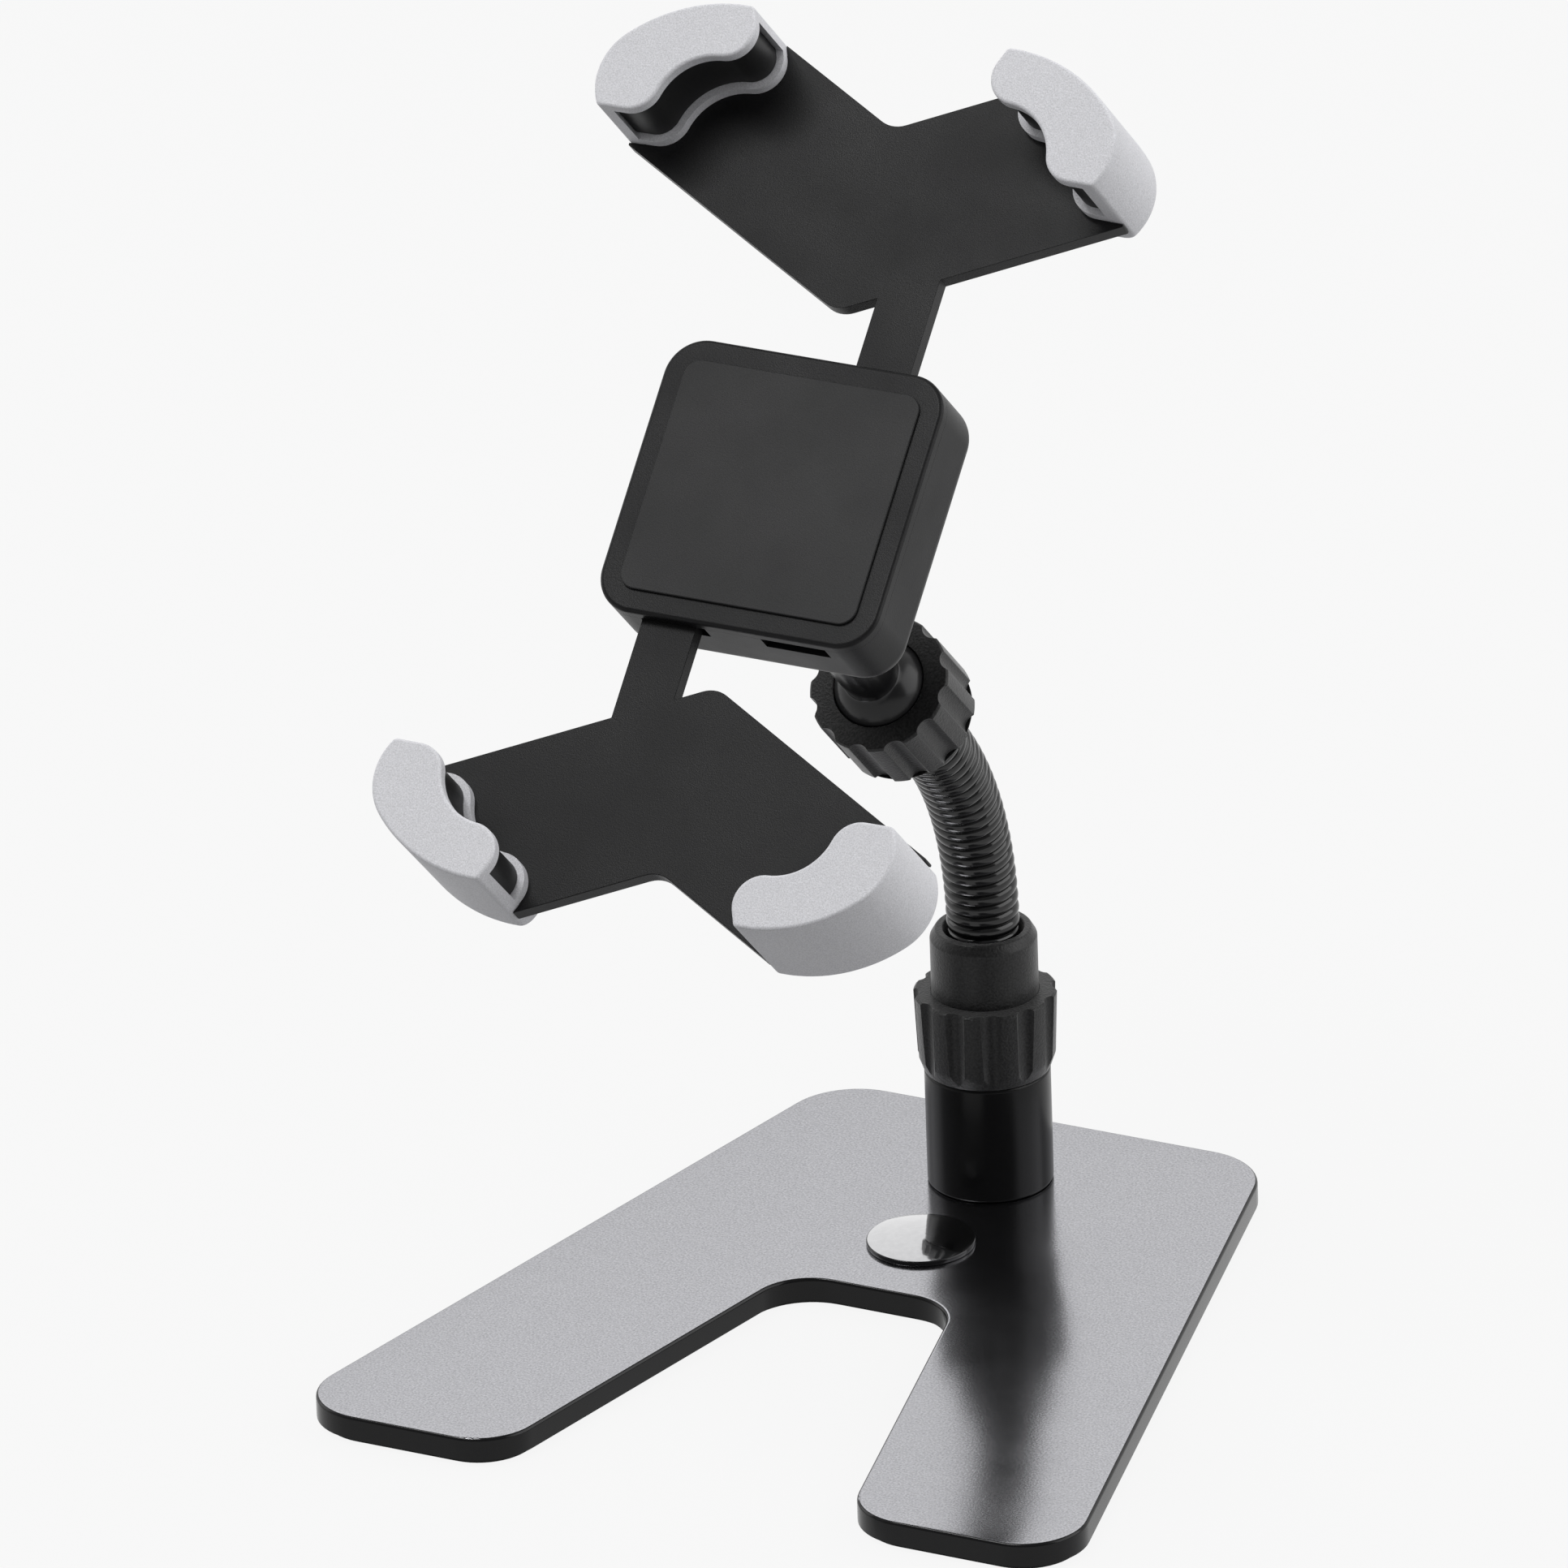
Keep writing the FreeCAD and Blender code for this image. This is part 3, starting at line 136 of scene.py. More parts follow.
# Near black on the badge's sloping rim: painted shade along the dome's edge.
BADGE_SHADED_RIM = Finish(
    "badge_clear", (0.006, 0.006, 0.0065), (0.05, 0.09), Grain.SPRAYED, depth=0.001 * MM,
    mottle_and_glints=0.05, specular=0.3)
SCREW_STEEL = Finish(
    "screw_steel", (0.36, 0.36, 0.37), (0.28, 0.4), Grain.SPRAYED, depth=0.004 * MM,
    mottle_and_glints=0.06, metallic=1.0)
WASHER_NYLON = Finish(
    "washer_nylon", (0.7, 0.69, 0.65), (0.4, 0.5), Grain.FINE, depth=0.01 * MM, mottle_and_glints=0.04)
# The strong mottle paints pale flecks into the dark colour: painted glints of the coarse grain.
GRAINED_BLACK = Finish(
    "grained_black", (0.01, 0.01, 0.0102), (0.36, 0.44), Grain.MOULDED, depth=0.08 * MM,
    mottle_and_glints=0.8, specular=0.27, sheen=0.4)
NECK_GLOSS = Finish(
    "neck_black", (0.003, 0.003, 0.0032), (0.12, 0.18), Grain.SPRAYED, depth=0.002 * MM,
    mottle_and_glints=0.1, specular=0.45)
STUD_GLOSS = Finish(
    "stud_black", (0.006, 0.006, 0.0065), (0.2, 0.26), Grain.SPRAYED, depth=0.002 * MM,
    mottle_and_glints=0.08, specular=0.3)
ARM_SATIN = Finish(
    "arm_black", (0.007, 0.007, 0.0075), (0.36, 0.46), Grain.FINE, depth=0.025 * MM,
    mottle_and_glints=0.2, specular=0.16)
CLAW_GREY = Finish(
    "claw_grey", (0.6, 0.6, 0.626), (0.5, 0.62), Grain.FINE, depth=0.03 * MM,
    mottle_and_glints=0.16, specular=0.4)
INSERT_RUBBER = Finish(
    "pad_rubber", (0.014, 0.014, 0.0145), (0.44, 0.52), Grain.FINE, depth=0.015 * MM,
    mottle_and_glints=0.2, specular=0.22)
GEAR_PLASTIC = Finish(
    "gear_plastic", (0.66, 0.65, 0.61), (0.4, 0.5), Grain.FINE, depth=0.01 * MM, mottle_and_glints=0.04)


class ShaderKit:
    """Builds the shared shader node groups once, and a material for each finish.

    Attributes:
        fine_detail: Octaves of the grain's noise.
        broad_detail: Octaves of the broad noise in the mask.
        broad_scale: Scale of the broad noise, as a share of the grain's.
        broad_weight: Weight of the broad noise in the mask.
        mask_range: Noise levels at which the mask is 0 and 1.
        marks_scale: Scale of the handling marks, in cells per metre.
        marks_detail: Octaves of the marks' noise.
        marks_range: Noise levels at which the roughness is lowest and highest.
    """

    fine_detail: float = 2.0
    broad_detail: float = 3.0
    broad_scale: float = 0.18
    broad_weight: float = 0.1
    mask_range: tuple[float, float] = (0.36, 0.74)
    marks_scale: float = 55.0
    marks_detail: float = 4.0
    marks_range: tuple[float, float] = (0.3, 0.7)

    def __init__(self) -> None:
        """Build the two shared groups."""
        self.grain_group = self._grain_group()
        self.marks_group = self._marks_group()
        self.materials: dict[Finish, bpy.types.Material] = {}

    @staticmethod
    def _new_group(name: str, inputs: list[str], outputs: list[str]
                   ) -> tuple[bpy.types.NodeTree, bpy.types.Node, bpy.types.Node]:
        """Make an empty shader group with float sockets.

        Args:
            name: The group's name.
            inputs: Names of its float inputs.
            outputs: Names of its float outputs.

        Returns:
            The group, its input node and its output node.
        """
        group = bpy.data.node_groups.new(name, "ShaderNodeTree")
        for label in inputs:
            group.interface.new_socket(name=label, in_out="INPUT", socket_type="NodeSocketFloat")
        for label in outputs:
            group.interface.new_socket(name=label, in_out="OUTPUT", socket_type="NodeSocketFloat")
        return group, group.nodes.new("NodeGroupInput"), group.nodes.new("NodeGroupOutput")

    def _grain_group(self) -> bpy.types.NodeTree:
        """Return the moulded or sprayed grain: a height and a mask on object coordinates."""
        group, given, result = self._new_group("surface_grain", ["Scale"], ["Height", "Mask"])
        place = group.nodes.new("ShaderNodeTexCoord")
        cells = group.nodes.new("ShaderNodeTexNoise")
        cells.inputs["Detail"].default_value = self.fine_detail
        broad = group.nodes.new("ShaderNodeTexNoise")
        broad.inputs["Detail"].default_value = self.broad_detail
        shrink = group.nodes.new("ShaderNodeMath")
        shrink.operation = "MULTIPLY"
        shrink.inputs[1].default_value = self.broad_scale
        blend = group.nodes.new("ShaderNodeMath")
        blend.operation = "MULTIPLY_ADD"
        blend.inputs[1].default_value = self.broad_weight
        sharpen = group.nodes.new("ShaderNodeMapRange")
        sharpen.inputs["From Min"].default_value = self.mask_range[0]
        sharpen.inputs["From Max"].default_value = self.mask_range[1]
        links = group.links
        links.new(place.outputs["Object"], cells.inputs["Vector"])
        links.new(place.outputs["Object"], broad.inputs["Vector"])
        links.new(given.outputs["Scale"], cells.inputs["Scale"])
        links.new(given.outputs["Scale"], shrink.inputs[0])
        links.new(shrink.outputs[0], broad.inputs["Scale"])
        links.new(broad.outputs["Fac"], blend.inputs[0])
        links.new(cells.outputs["Fac"], blend.inputs[2])
        links.new(blend.outputs[0], sharpen.inputs["Value"])
        links.new(cells.outputs["Fac"], result.inputs["Height"])
        links.new(sharpen.outputs["Result"], result.inputs["Mask"])
        return group

    def _marks_group(self) -> bpy.types.NodeTree:
        """Return the faint, broad unevenness that handling leaves, as a roughness."""
        group, given, result = self._new_group("handling_marks", ["Low", "High"], ["Roughness"])
        place = group.nodes.new("ShaderNodeTexCoord")
        noise = group.nodes.new("ShaderNodeTexNoise")
        noise.inputs["Scale"].default_value = self.marks_scale
        noise.inputs["Detail"].default_value = self.marks_detail
        spread = group.nodes.new("ShaderNodeMapRange")
        spread.inputs["From Min"].default_value = self.marks_range[0]
        spread.inputs["From Max"].default_value = self.marks_range[1]
        links = group.links
        links.new(place.outputs["Object"], noise.inputs["Vector"])
        links.new(noise.outputs["Fac"], spread.inputs["Value"])
        links.new(given.outputs["Low"], spread.inputs["To Min"])
        links.new(given.outputs["High"], spread.inputs["To Max"])
        links.new(spread.outputs["Result"], result.inputs["Roughness"])
        return group

    def material(self, finish: Finish, name: str) -> bpy.types.Material:
        """Return the material of a finish, built at its first use.

        Args:
            finish: The finish.
            name: The material's name when it is built.

        Returns:
            The material.
        """
        if finish in self.materials:
            return self.materials[finish]
        material = bpy.data.materials.new(name)
        material.use_nodes = True
        nodes, links = material.node_tree.nodes, material.node_tree.links
        shader = nodes["Principled BSDF"]
        shader.inputs["Metallic"].default_value = finish.metallic
        shader.inputs["Specular IOR Level"].default_value = finish.specular
        shader.inputs["Specular Tint"].default_value = grey(finish.edge_tint)
        shader.inputs["Sheen Weight"].default_value = finish.sheen
        shader.inputs["Sheen Roughness"].default_value = finish.sheen_roughness
        shader.inputs["Coat Weight"].default_value = finish.coat
        shader.inputs["Coat Roughness"].default_value = finish.coat_roughness
        grain = nodes.new("ShaderNodeGroup")
        grain.node_tree = self.grain_group
        grain.inputs["Scale"].default_value = finish.grain.value
        # The grain's mask mixes a darker and a lighter colour; on grained black the lighter flecks
        # are painted glints.
        tint = nodes.new("ShaderNodeMix")
        tint.data_type = "RGBA"
        tint.inputs["A"].default_value = (*(c * (1 - finish.mottle_and_glints) for c in finish.colour), 1.0)
        tint.inputs["B"].default_value = (*(c * (1 + finish.mottle_and_glints) for c in finish.colour), 1.0)
        links.new(grain.outputs["Mask"], tint.inputs["Factor"])
        links.new(tint.outputs["Result"], shader.inputs["Base Color"])
        marks = nodes.new("ShaderNodeGroup")
        marks.node_tree = self.marks_group
        marks.inputs["Low"].default_value = finish.roughness[0]
        marks.inputs["High"].default_value = finish.roughness[1]
        links.new(marks.outputs["Roughness"], shader.inputs["Roughness"])
        bump = nodes.new("ShaderNodeBump")
        bump.inputs["Strength"].default_value = 1.0
        bump.inputs["Distance"].default_value = finish.depth
        links.new(grain.outputs["Height"], bump.inputs["Height"])
        links.new(bump.outputs["Normal"], shader.inputs["Normal"])
        self.materials[finish] = material
        return material


@dataclass
class SoftCopy:
    """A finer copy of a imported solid, with merged faces, softened edges and smooth shading.

    Attributes:
        node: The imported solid.
        finish: Its finish.
        edge: Width of the softened edges, in metres.
        sharp: Angle above which an edge is softened, in degrees.
        flat: Angle below which neighbouring faces count as one flat face, in degrees.
        segments: Number of faces across a softened edge.
    """

    node: str
    finish: Finish
    edge: float = 0.2 * MM
    sharp: float = 34.0
    flat: float = 0.4
    segments: int = 3

    def build(self, kit: ShaderKit) -> bpy.types.Object:
        """Build the copy, put it in the solid's place and let it ride on the solid's body.

        Args:
            kit: The shader kit.

        Returns:
            The finished piece.
        """
        mesh = frame["nodes"][self.node].data.copy()
        mesh.name = self.node + "_soft"
        self._merge(mesh)
        mesh.materials.clear()
        mesh.materials.append(kit.material(self.finish, self.finish.slot))
        piece = bpy.data.objects.new(self.node + "_soft", mesh)
        bpy.context.scene.collection.objects.link(piece)
        if self.edge > 0:
            self._soften(piece)
        else:
            mesh.set_sharp_from_angle(angle=math.radians(self.sharp))
        place_piece(piece, body_of_node(self.node), [self.node])
        return piece

    def _merge(self, mesh: bpy.types.Mesh) -> None:
        """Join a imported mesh's loose triangles and dissolve the lines inside its flat faces."""
        work = bmesh.new()
        work.from_mesh(mesh)
        bmesh.ops.remove_doubles(work, verts=work.verts, dist=JOIN_DISTANCE)
        bmesh.ops.dissolve_limit(work, angle_limit=math.radians(self.flat), verts=work.verts,
                                 edges=work.edges)
        for face in work.faces:
            face.smooth = True
        work.to_mesh(mesh)
        work.free()
        if mesh.has_custom_normals:
            mesh.normals_split_custom_set([(0.0, 0.0, 0.0)] * len(mesh.loops))

    def _soften(self, piece: bpy.types.Object) -> None:
        """Bevel the sharp edges of a piece and keep its flat faces flat."""
        bevel = piece.modifiers.new("softened_edges", "BEVEL")
        bevel.width = self.edge
        bevel.segments = self.segments
        bevel.limit_method = "ANGLE"
        bevel.angle_limit = math.radians(self.sharp)
        bevel.miter_outer = "MITER_ARC"
        weighted = piece.modifiers.new("flat_faces", "WEIGHTED_NORMAL")
        weighted.keep_sharp = True
        apply_modifiers(piece)


def apply_modifiers(piece: bpy.types.Object) -> None:
    """Turn a piece's modifiers into plain mesh."""
    graph = bpy.context.evaluated_depsgraph_get()
    mesh = bpy.data.meshes.new_from_object(piece.evaluated_get(graph))
    piece.modifiers.clear()
    piece.data = mesh


def body_of_node(node: str) -> str:
    """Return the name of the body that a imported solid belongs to."""
    bodies = frame["record"]["behaviour"]["bodies"]
    return next(name for name, members in bodies.items() if node in members)


def place_piece(piece: bpy.types.Object, body: str, nodes: list[str]) -> None:
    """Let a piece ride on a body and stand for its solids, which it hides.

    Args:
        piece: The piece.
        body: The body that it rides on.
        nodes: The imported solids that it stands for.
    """
    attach(piece, body)
    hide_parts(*nodes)
    LOG.info("%s: %d faces on %s", piece.name, len(piece.data.polygons), body)


class NodeTree:
    """A small helper that builds one Geometry Nodes tree and runs it on an object."""

    def __init__(self, name: str, sizes: dict[str, float], material: bpy.types.Material) -> None:
        """Make the tree with a geometry socket, one float input for each size and a material input.

        Args:
            name: The tree's name.
            sizes: Input names and their values.
            material: The material that the result gets.
        """
        self.tree = bpy.data.node_groups.new(name, "GeometryNodeTree")
        face = self.tree.interface
        face.new_socket(name="Geometry", in_out="INPUT", socket_type="NodeSocketGeometry")
        self.values = {}
        for label, size in sizes.items():
            socket = face.new_socket(name=label, in_out="INPUT", socket_type="NodeSocketFloat")
            self.values[socket.identifier] = size
        socket = face.new_socket(name="Finish", in_out="INPUT", socket_type="NodeSocketMaterial")
        self.values[socket.identifier] = material
        face.new_socket(name="Geometry", in_out="OUTPUT", socket_type="NodeSocketGeometry")
        self.given = self.add("NodeGroupInput")
        self.result = self.add("NodeGroupOutput")

    def add(self, kind: str, **settings: object) -> bpy.types.Node:
        """Add a node and set its properties."""
        node = self.tree.nodes.new(kind)
        for label, setting in settings.items():
            setattr(node, label, setting)
        return node

    def link(self, start: bpy.types.NodeSocket, end: bpy.types.NodeSocket) -> None:
        """Link two sockets."""
        self.tree.links.new(start, end)

    def finish(self, start: bpy.types.NodeSocket) -> None:
        """End the tree in realised, smooth geometry with the given material."""
        real = self.add("GeometryNodeRealizeInstances")
        smooth = self.add("GeometryNodeSetShadeSmooth")
        paint = self.add("GeometryNodeSetMaterial")
        self.link(start, real.inputs["Geometry"])
        self.link(real.outputs["Geometry"], smooth.inputs["Geometry"])
        self.link(smooth.outputs["Geometry"], paint.inputs["Geometry"])
        self.link(self.given.outputs["Finish"], paint.inputs["Material"])
        self.link(paint.outputs["Geometry"], self.result.inputs["Geometry"])

    def run(self, carrier: bpy.types.Object, name: str) -> bpy.types.Object:
        """Run the tree on an object and return the result as a plain mesh object.

        Args:
            carrier: The object whose geometry the tree starts from. It is removed.
            name: The new object's name.

        Returns:
            The new object.
        """
        modifier = carrier.modifiers.new("tree", "NODES")
        modifier.node_group = self.tree
        for identifier, size in self.values.items():
            modifier[identifier] = size
        carrier.update_tag()
        bpy.context.view_layer.update()
        graph = bpy.context.evaluated_depsgraph_get()
        mesh = bpy.data.meshes.new_from_object(carrier.evaluated_get(graph))
        mesh.name = name
        carrier.modifiers.clear()
        bpy.data.objects.remove(carrier)
        piece = bpy.data.objects.new(name, mesh)
        bpy.context.scene.collection.objects.link(piece)
        return piece


@dataclass
class Gooseneck:
    """The bent neck: a dark core with a rounded ring at every pitch.

    Attributes:
        radius: Outside radius of the rings.
        ring: Half the height of a ring's oval section.
        bulge: Depth of that section, as a share of its height.
        core: Radius of the core between the rings.
        pitch: Distance from ring to ring.
        bend: Radius of the neck's arc.
        angle: Angle of the neck's arc.
        lead: Straight length below the arc, inside the ferrule.
        tail: Straight length above the arc, up into the socket.
        steps: Number of straight steps along the arc.
        ring_sides: Number of points round a ring.
        section_sides: Number of points round a ring's section.
        core_sides: Number of points round the core.
    """

    radius: float = 6.4 * MM
    ring: float = 1.15 * MM
    bulge: float = 0.6
    core: float = 5.9 * MM
    pitch: float = 2.3 * MM
    bend: float = 60.4 * MM
    angle: float = math.radians(45.0)
    lead: float = 8.0 * MM
    tail: float = 12.0 * MM
    steps: int = 48
    ring_sides: int = 56
    section_sides: int = 20
    core_sides: int = 40

    def _path(self) -> list[Vector]:
        """Return the points of the neck's axis, from the ferrule's mouth up."""
        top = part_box("ferrule")[1].z
        axis = Vector((0.0, -math.sin(self.angle), math.cos(self.angle)))
        points = [Vector((0.0, 0.0, top - self.lead))]
        for step in range(self.steps + 1):
            turn = self.angle * step / self.steps
            aside, rise = self.bend * (1 - math.cos(turn)), self.bend * math.sin(turn)
            points.append(Vector((0.0, -aside, top + rise)))
        points.append(points[-1] + axis * self.tail)
        return points

    def build(self, kit: ShaderKit) -> None:
        """Build the ringed neck along its arc between the ferrule and the socket."""
        path = self._path()
        sizes = {"Pitch": self.pitch, "Ring Radius": self.radius - self.ring * self.bulge,
                 "Section Radius": self.ring, "Bulge": self.bulge, "Core Radius": self.core}
        tree = NodeTree("neck_rings", sizes, kit.material(NECK_GLOSS, "neck_black"))
        joined = tree.add("GeometryNodeJoinGeometry")
        tree.link(self._core(tree), joined.inputs["Geometry"])
        tree.link(self._rings(tree), joined.inputs["Geometry"])
        tree.finish(joined.outputs["Geometry"])
        piece = tree.run(self._carrier(path), "gooseneck_rings")
        face_outwards(piece.data)
        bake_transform(piece)
        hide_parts("gooseneck")
        LOG.info("%s: %d faces", piece.name, len(piece.data.polygons))

    @staticmethod
    def _carrier(path: list[Vector]) -> bpy.types.Object:
        """Return a curve object along the neck's axis."""
        curve = bpy.data.curves.new("neck_axis", "CURVE")
        curve.dimensions = "3D"
        spline = curve.splines.new("POLY")
        spline.points.add(len(path) - 1)
        for point, place in zip(spline.points, path):
            point.co = (*place, 1.0)
        carrier = bpy.data.objects.new("neck_axis", curve)
        bpy.context.scene.collection.objects.link(carrier)
        return carrier

    @staticmethod
    def _circle(tree: NodeTree, radius: str, sides: int) -> bpy.types.NodeSocket:
        """Add a circle whose radius is an input of the tree, and return its socket."""
        circle = tree.add("GeometryNodeCurvePrimitiveCircle")
        circle.inputs["Resolution"].default_value = sides
        tree.link(tree.given.outputs[radius], circle.inputs["Radius"])
        return circle.outputs["Curve"]

    def _core(self, tree: NodeTree) -> bpy.types.NodeSocket:
        """Add the closed tube inside the rings and return its socket."""
        core = tree.add("GeometryNodeCurveToMesh")
        core.inputs["Fill Caps"].default_value = True
        tree.link(tree.given.outputs["Geometry"], core.inputs["Curve"])
        section = self._circle(tree, "Core Radius", self.core_sides)
        tree.link(section, core.inputs["Profile Curve"])
        return core.outputs["Mesh"]

    def _rings(self, tree: NodeTree) -> bpy.types.NodeSocket:
        """Add a ring of oval section at every pitch and return the socket of the rings."""
        spaced = tree.add("GeometryNodeResampleCurve", mode="LENGTH")
        tree.link(tree.given.outputs["Geometry"], spaced.inputs["Curve"])
        tree.link(tree.given.outputs["Pitch"], spaced.inputs["Length"])
        squeeze = tree.add("ShaderNodeCombineXYZ")
        squeeze.inputs["Y"].default_value = 1.0
        squeeze.inputs["Z"].default_value = 1.0
        tree.link(tree.given.outputs["Bulge"], squeeze.inputs["X"])
        oval = tree.add("GeometryNodeTransform")
        section = self._circle(tree, "Section Radius", self.section_sides)
        tree.link(section, oval.inputs["Geometry"])
        tree.link(squeeze.outputs["Vector"], oval.inputs["Scale"])
        torus = tree.add("GeometryNodeCurveToMesh")
        tree.link(self._circle(tree, "Ring Radius", self.ring_sides), torus.inputs["Curve"])
        tree.link(oval.outputs["Geometry"], torus.inputs["Profile Curve"])
        tangent = tree.add("GeometryNodeInputTangent")
        aligned = tree.add("FunctionNodeAlignRotationToVector", axis="Z")
        tree.link(tangent.outputs["Tangent"], aligned.inputs["Vector"])
        rings = tree.add("GeometryNodeInstanceOnPoints")
        tree.link(spaced.outputs["Curve"], rings.inputs["Points"])
        tree.link(torus.outputs["Mesh"], rings.inputs["Instance"])
        tree.link(aligned.outputs["Rotation"], rings.inputs["Rotation"])
        return rings.outputs["Instances"]


@dataclass
class ScrewSet:
    """A group of like pan-head screws, each with a hexagon socket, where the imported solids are.

    The union in the tree leaves the shanks' walls out, so each screw is a head that is open below.

    Attributes:
        node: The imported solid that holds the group.
        head: Radius of a head.
        height: Height of a head.
        crown: Height of the sloped rim at a head's top.
        slope: Width of that rim.
        shank: Radius of a shank.
        key: Radius of the socket over its corners.
        depth: Depth of the socket.
        lift: How far the socket's cutter stands above the head.
        sides: Number of sides of a head and a shank.
        key_sides: Number of sides of the socket.
        rim: Share of the widest radius beyond which a point belongs to a head.
        sharp: Angle above which an edge is shaded sharp, in degrees.
    """

    node: str
    head: float = 2.1 * MM
    height: float = 1.4 * MM
    crown: float = 0.4 * MM
    slope: float = 0.45 * MM
    shank: float = 1.2 * MM
    key: float = 1.15 * MM
    depth: float = 0.9 * MM
    lift: float = 0.1 * MM
    sides: int = 28
    key_sides: int = 6
    rim: float = 0.9
    sharp: float = 30.0

    def _islands(self) -> list[numpy.ndarray]:
        """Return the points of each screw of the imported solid."""
        work = bmesh.new()
        work.from_mesh(frame["nodes"][self.node].data)
        bmesh.ops.remove_doubles(work, verts=work.verts, dist=JOIN_DISTANCE)
        left = set(work.verts)
        islands = []
        while left:
            todo = [left.pop()]
            island = []
            while todo:
                vertex = todo.pop()
                island.append(tuple(vertex.co))
                near = {edge.other_vert(vertex) for edge in vertex.link_edges} & left
                left -= near
                todo.extend(near)
            islands.append(numpy.array(island))
        work.free()
        return sorted(islands, key=lambda points: tuple(points.mean(axis=0).round(5)))

    def _places(self) -> tuple[list[Vector], Vector, float]:
        """Return the middles of the heads' tops, the heads' direction and the screws' length."""
        places = []
        for points in self._islands():
            middle = points.mean(axis=0)
            axis = numpy.linalg.eigh(numpy.cov((points - middle).T))[1][:, 2]
            heights = (points - middle) @ axis
            reach = numpy.linalg.norm(points - middle - numpy.outer(heights, axis), axis=1)
            if heights[reach > reach.max() * self.rim].mean() < 0:
                axis, heights = -axis, -heights
            places.append(Vector(middle + axis * heights.max()))
        return places, Vector(axis), float(heights.max() - heights.min())

    def build(self, kit: ShaderKit) -> None:
        """Build the group and let it ride on its solids' body."""
        places, axis, length = self._places()
        mesh = bpy.data.meshes.new(self.node + "_places")
        mesh.from_pydata(places, [], [])
        carrier = bpy.data.objects.new(self.node + "_places", mesh)
        bpy.context.scene.collection.objects.link(carrier)
        sizes = {"Head Radius": self.head, "Head Height": self.height - self.crown,
                 "Crown": self.crown, "Crown Radius": self.head - self.slope,
                 "Shank Radius": self.shank,
                 "Length": length - self.height, "Key Radius": self.key, "Key Depth": self.depth}
        tree = NodeTree(self.node + "_tree", sizes, kit.material(SCREW_STEEL, "screw_steel"))
        crown = self._cone(tree, "Head Radius", "Crown Radius", "Crown", -self.crown, self.sides)
        head = self._cone(tree, "Head Radius", "Head Radius", "Head Height", -self.height,
                          self.sides)
        shank = self._cone(tree, "Shank Radius", "Shank Radius", "Length", -length, self.sides)
        socket = self._cone(tree, "Key Radius", "Key Radius", "Key Depth", -self.depth,
                            self.key_sides, self.lift)
        cut = tree.add("GeometryNodeMeshBoolean", operation="DIFFERENCE")
        tree.link(self._joined(tree, crown, head, shank), cut.inputs["Mesh 1"])
        tree.link(socket, cut.inputs["Mesh 2"])
        spread = tree.add("GeometryNodeInstanceOnPoints")
        aligned = tree.add("FunctionNodeAlignRotationToVector", axis="Z")
        aligned.inputs["Vector"].default_value = axis
        points = tree.add("GeometryNodeMeshToPoints")
        tree.link(tree.given.outputs["Geometry"], points.inputs["Mesh"])
        tree.link(points.outputs["Points"], spread.inputs["Points"])
        tree.link(cut.outputs["Mesh"], spread.inputs["Instance"])
        tree.link(aligned.outputs["Rotation"], spread.inputs["Rotation"])
        tree.finish(spread.outputs["Instances"])
        piece = tree.run(carrier, self.node + "_turned")
        face_outwards(piece.data)
        piece.data.set_sharp_from_angle(angle=math.radians(self.sharp))
        place_piece(piece, body_of_node(self.node), [self.node])

    @staticmethod
    def _cone(tree: NodeTree, low: str, high: str, tall: str, base: float, sides: int,
              lift: float = 0.0) -> bpy.types.NodeSocket:
        """Add a cone or cylinder to a screw's tree.

        Args:
            tree: The tree.
            low: Input that gives the radius at the base.
            high: Input that gives the radius at the top.
            tall: Input that gives the height.
            base: Height of the base over the head's top.
            sides: Number of sides.
            lift: How far the top stands above the height, so that a cut goes through.

        Returns:
            The socket of the mesh.
        """
        cone = tree.add("GeometryNodeMeshCone")
        cone.inputs["Vertices"].default_value = sides
        tree.link(tree.given.outputs[high], cone.inputs["Radius Top"])
        tree.link(tree.given.outputs[low], cone.inputs["Radius Bottom"])
        taller = tree.add("ShaderNodeMath", operation="ADD")
        taller.inputs[1].default_value = lift
        tree.link(tree.given.outputs[tall], taller.inputs[0])
        tree.link(taller.outputs[0], cone.inputs["Depth"])
        moved = tree.add("GeometryNodeTransform")
        moved.inputs["Translation"].default_value = (0.0, 0.0, base)
        tree.link(cone.outputs["Mesh"], moved.inputs["Geometry"])
        return moved.outputs["Geometry"]

    @staticmethod
    def _joined(tree: NodeTree, *meshes: bpy.types.NodeSocket) -> bpy.types.NodeSocket:
        """Unite meshes in a tree and return the socket of the result."""
        union = tree.add("GeometryNodeMeshBoolean", operation="UNION")
        for mesh in meshes:
            tree.link(mesh, union.inputs["Mesh 2"])
        return union.outputs["Mesh"]


def face_outwards(mesh: bpy.types.Mesh) -> None:
    """Drop the loose points of a mesh of closed shells and turn its faces outwards."""
    work = bmesh.new()
    work.from_mesh(mesh)
    loose = [vertex for vertex in work.verts if not vertex.link_faces]
    bmesh.ops.delete(work, geom=loose, context="VERTS")
    bmesh.ops.recalc_face_normals(work, faces=work.faces)
    work.to_mesh(mesh)
    work.free()


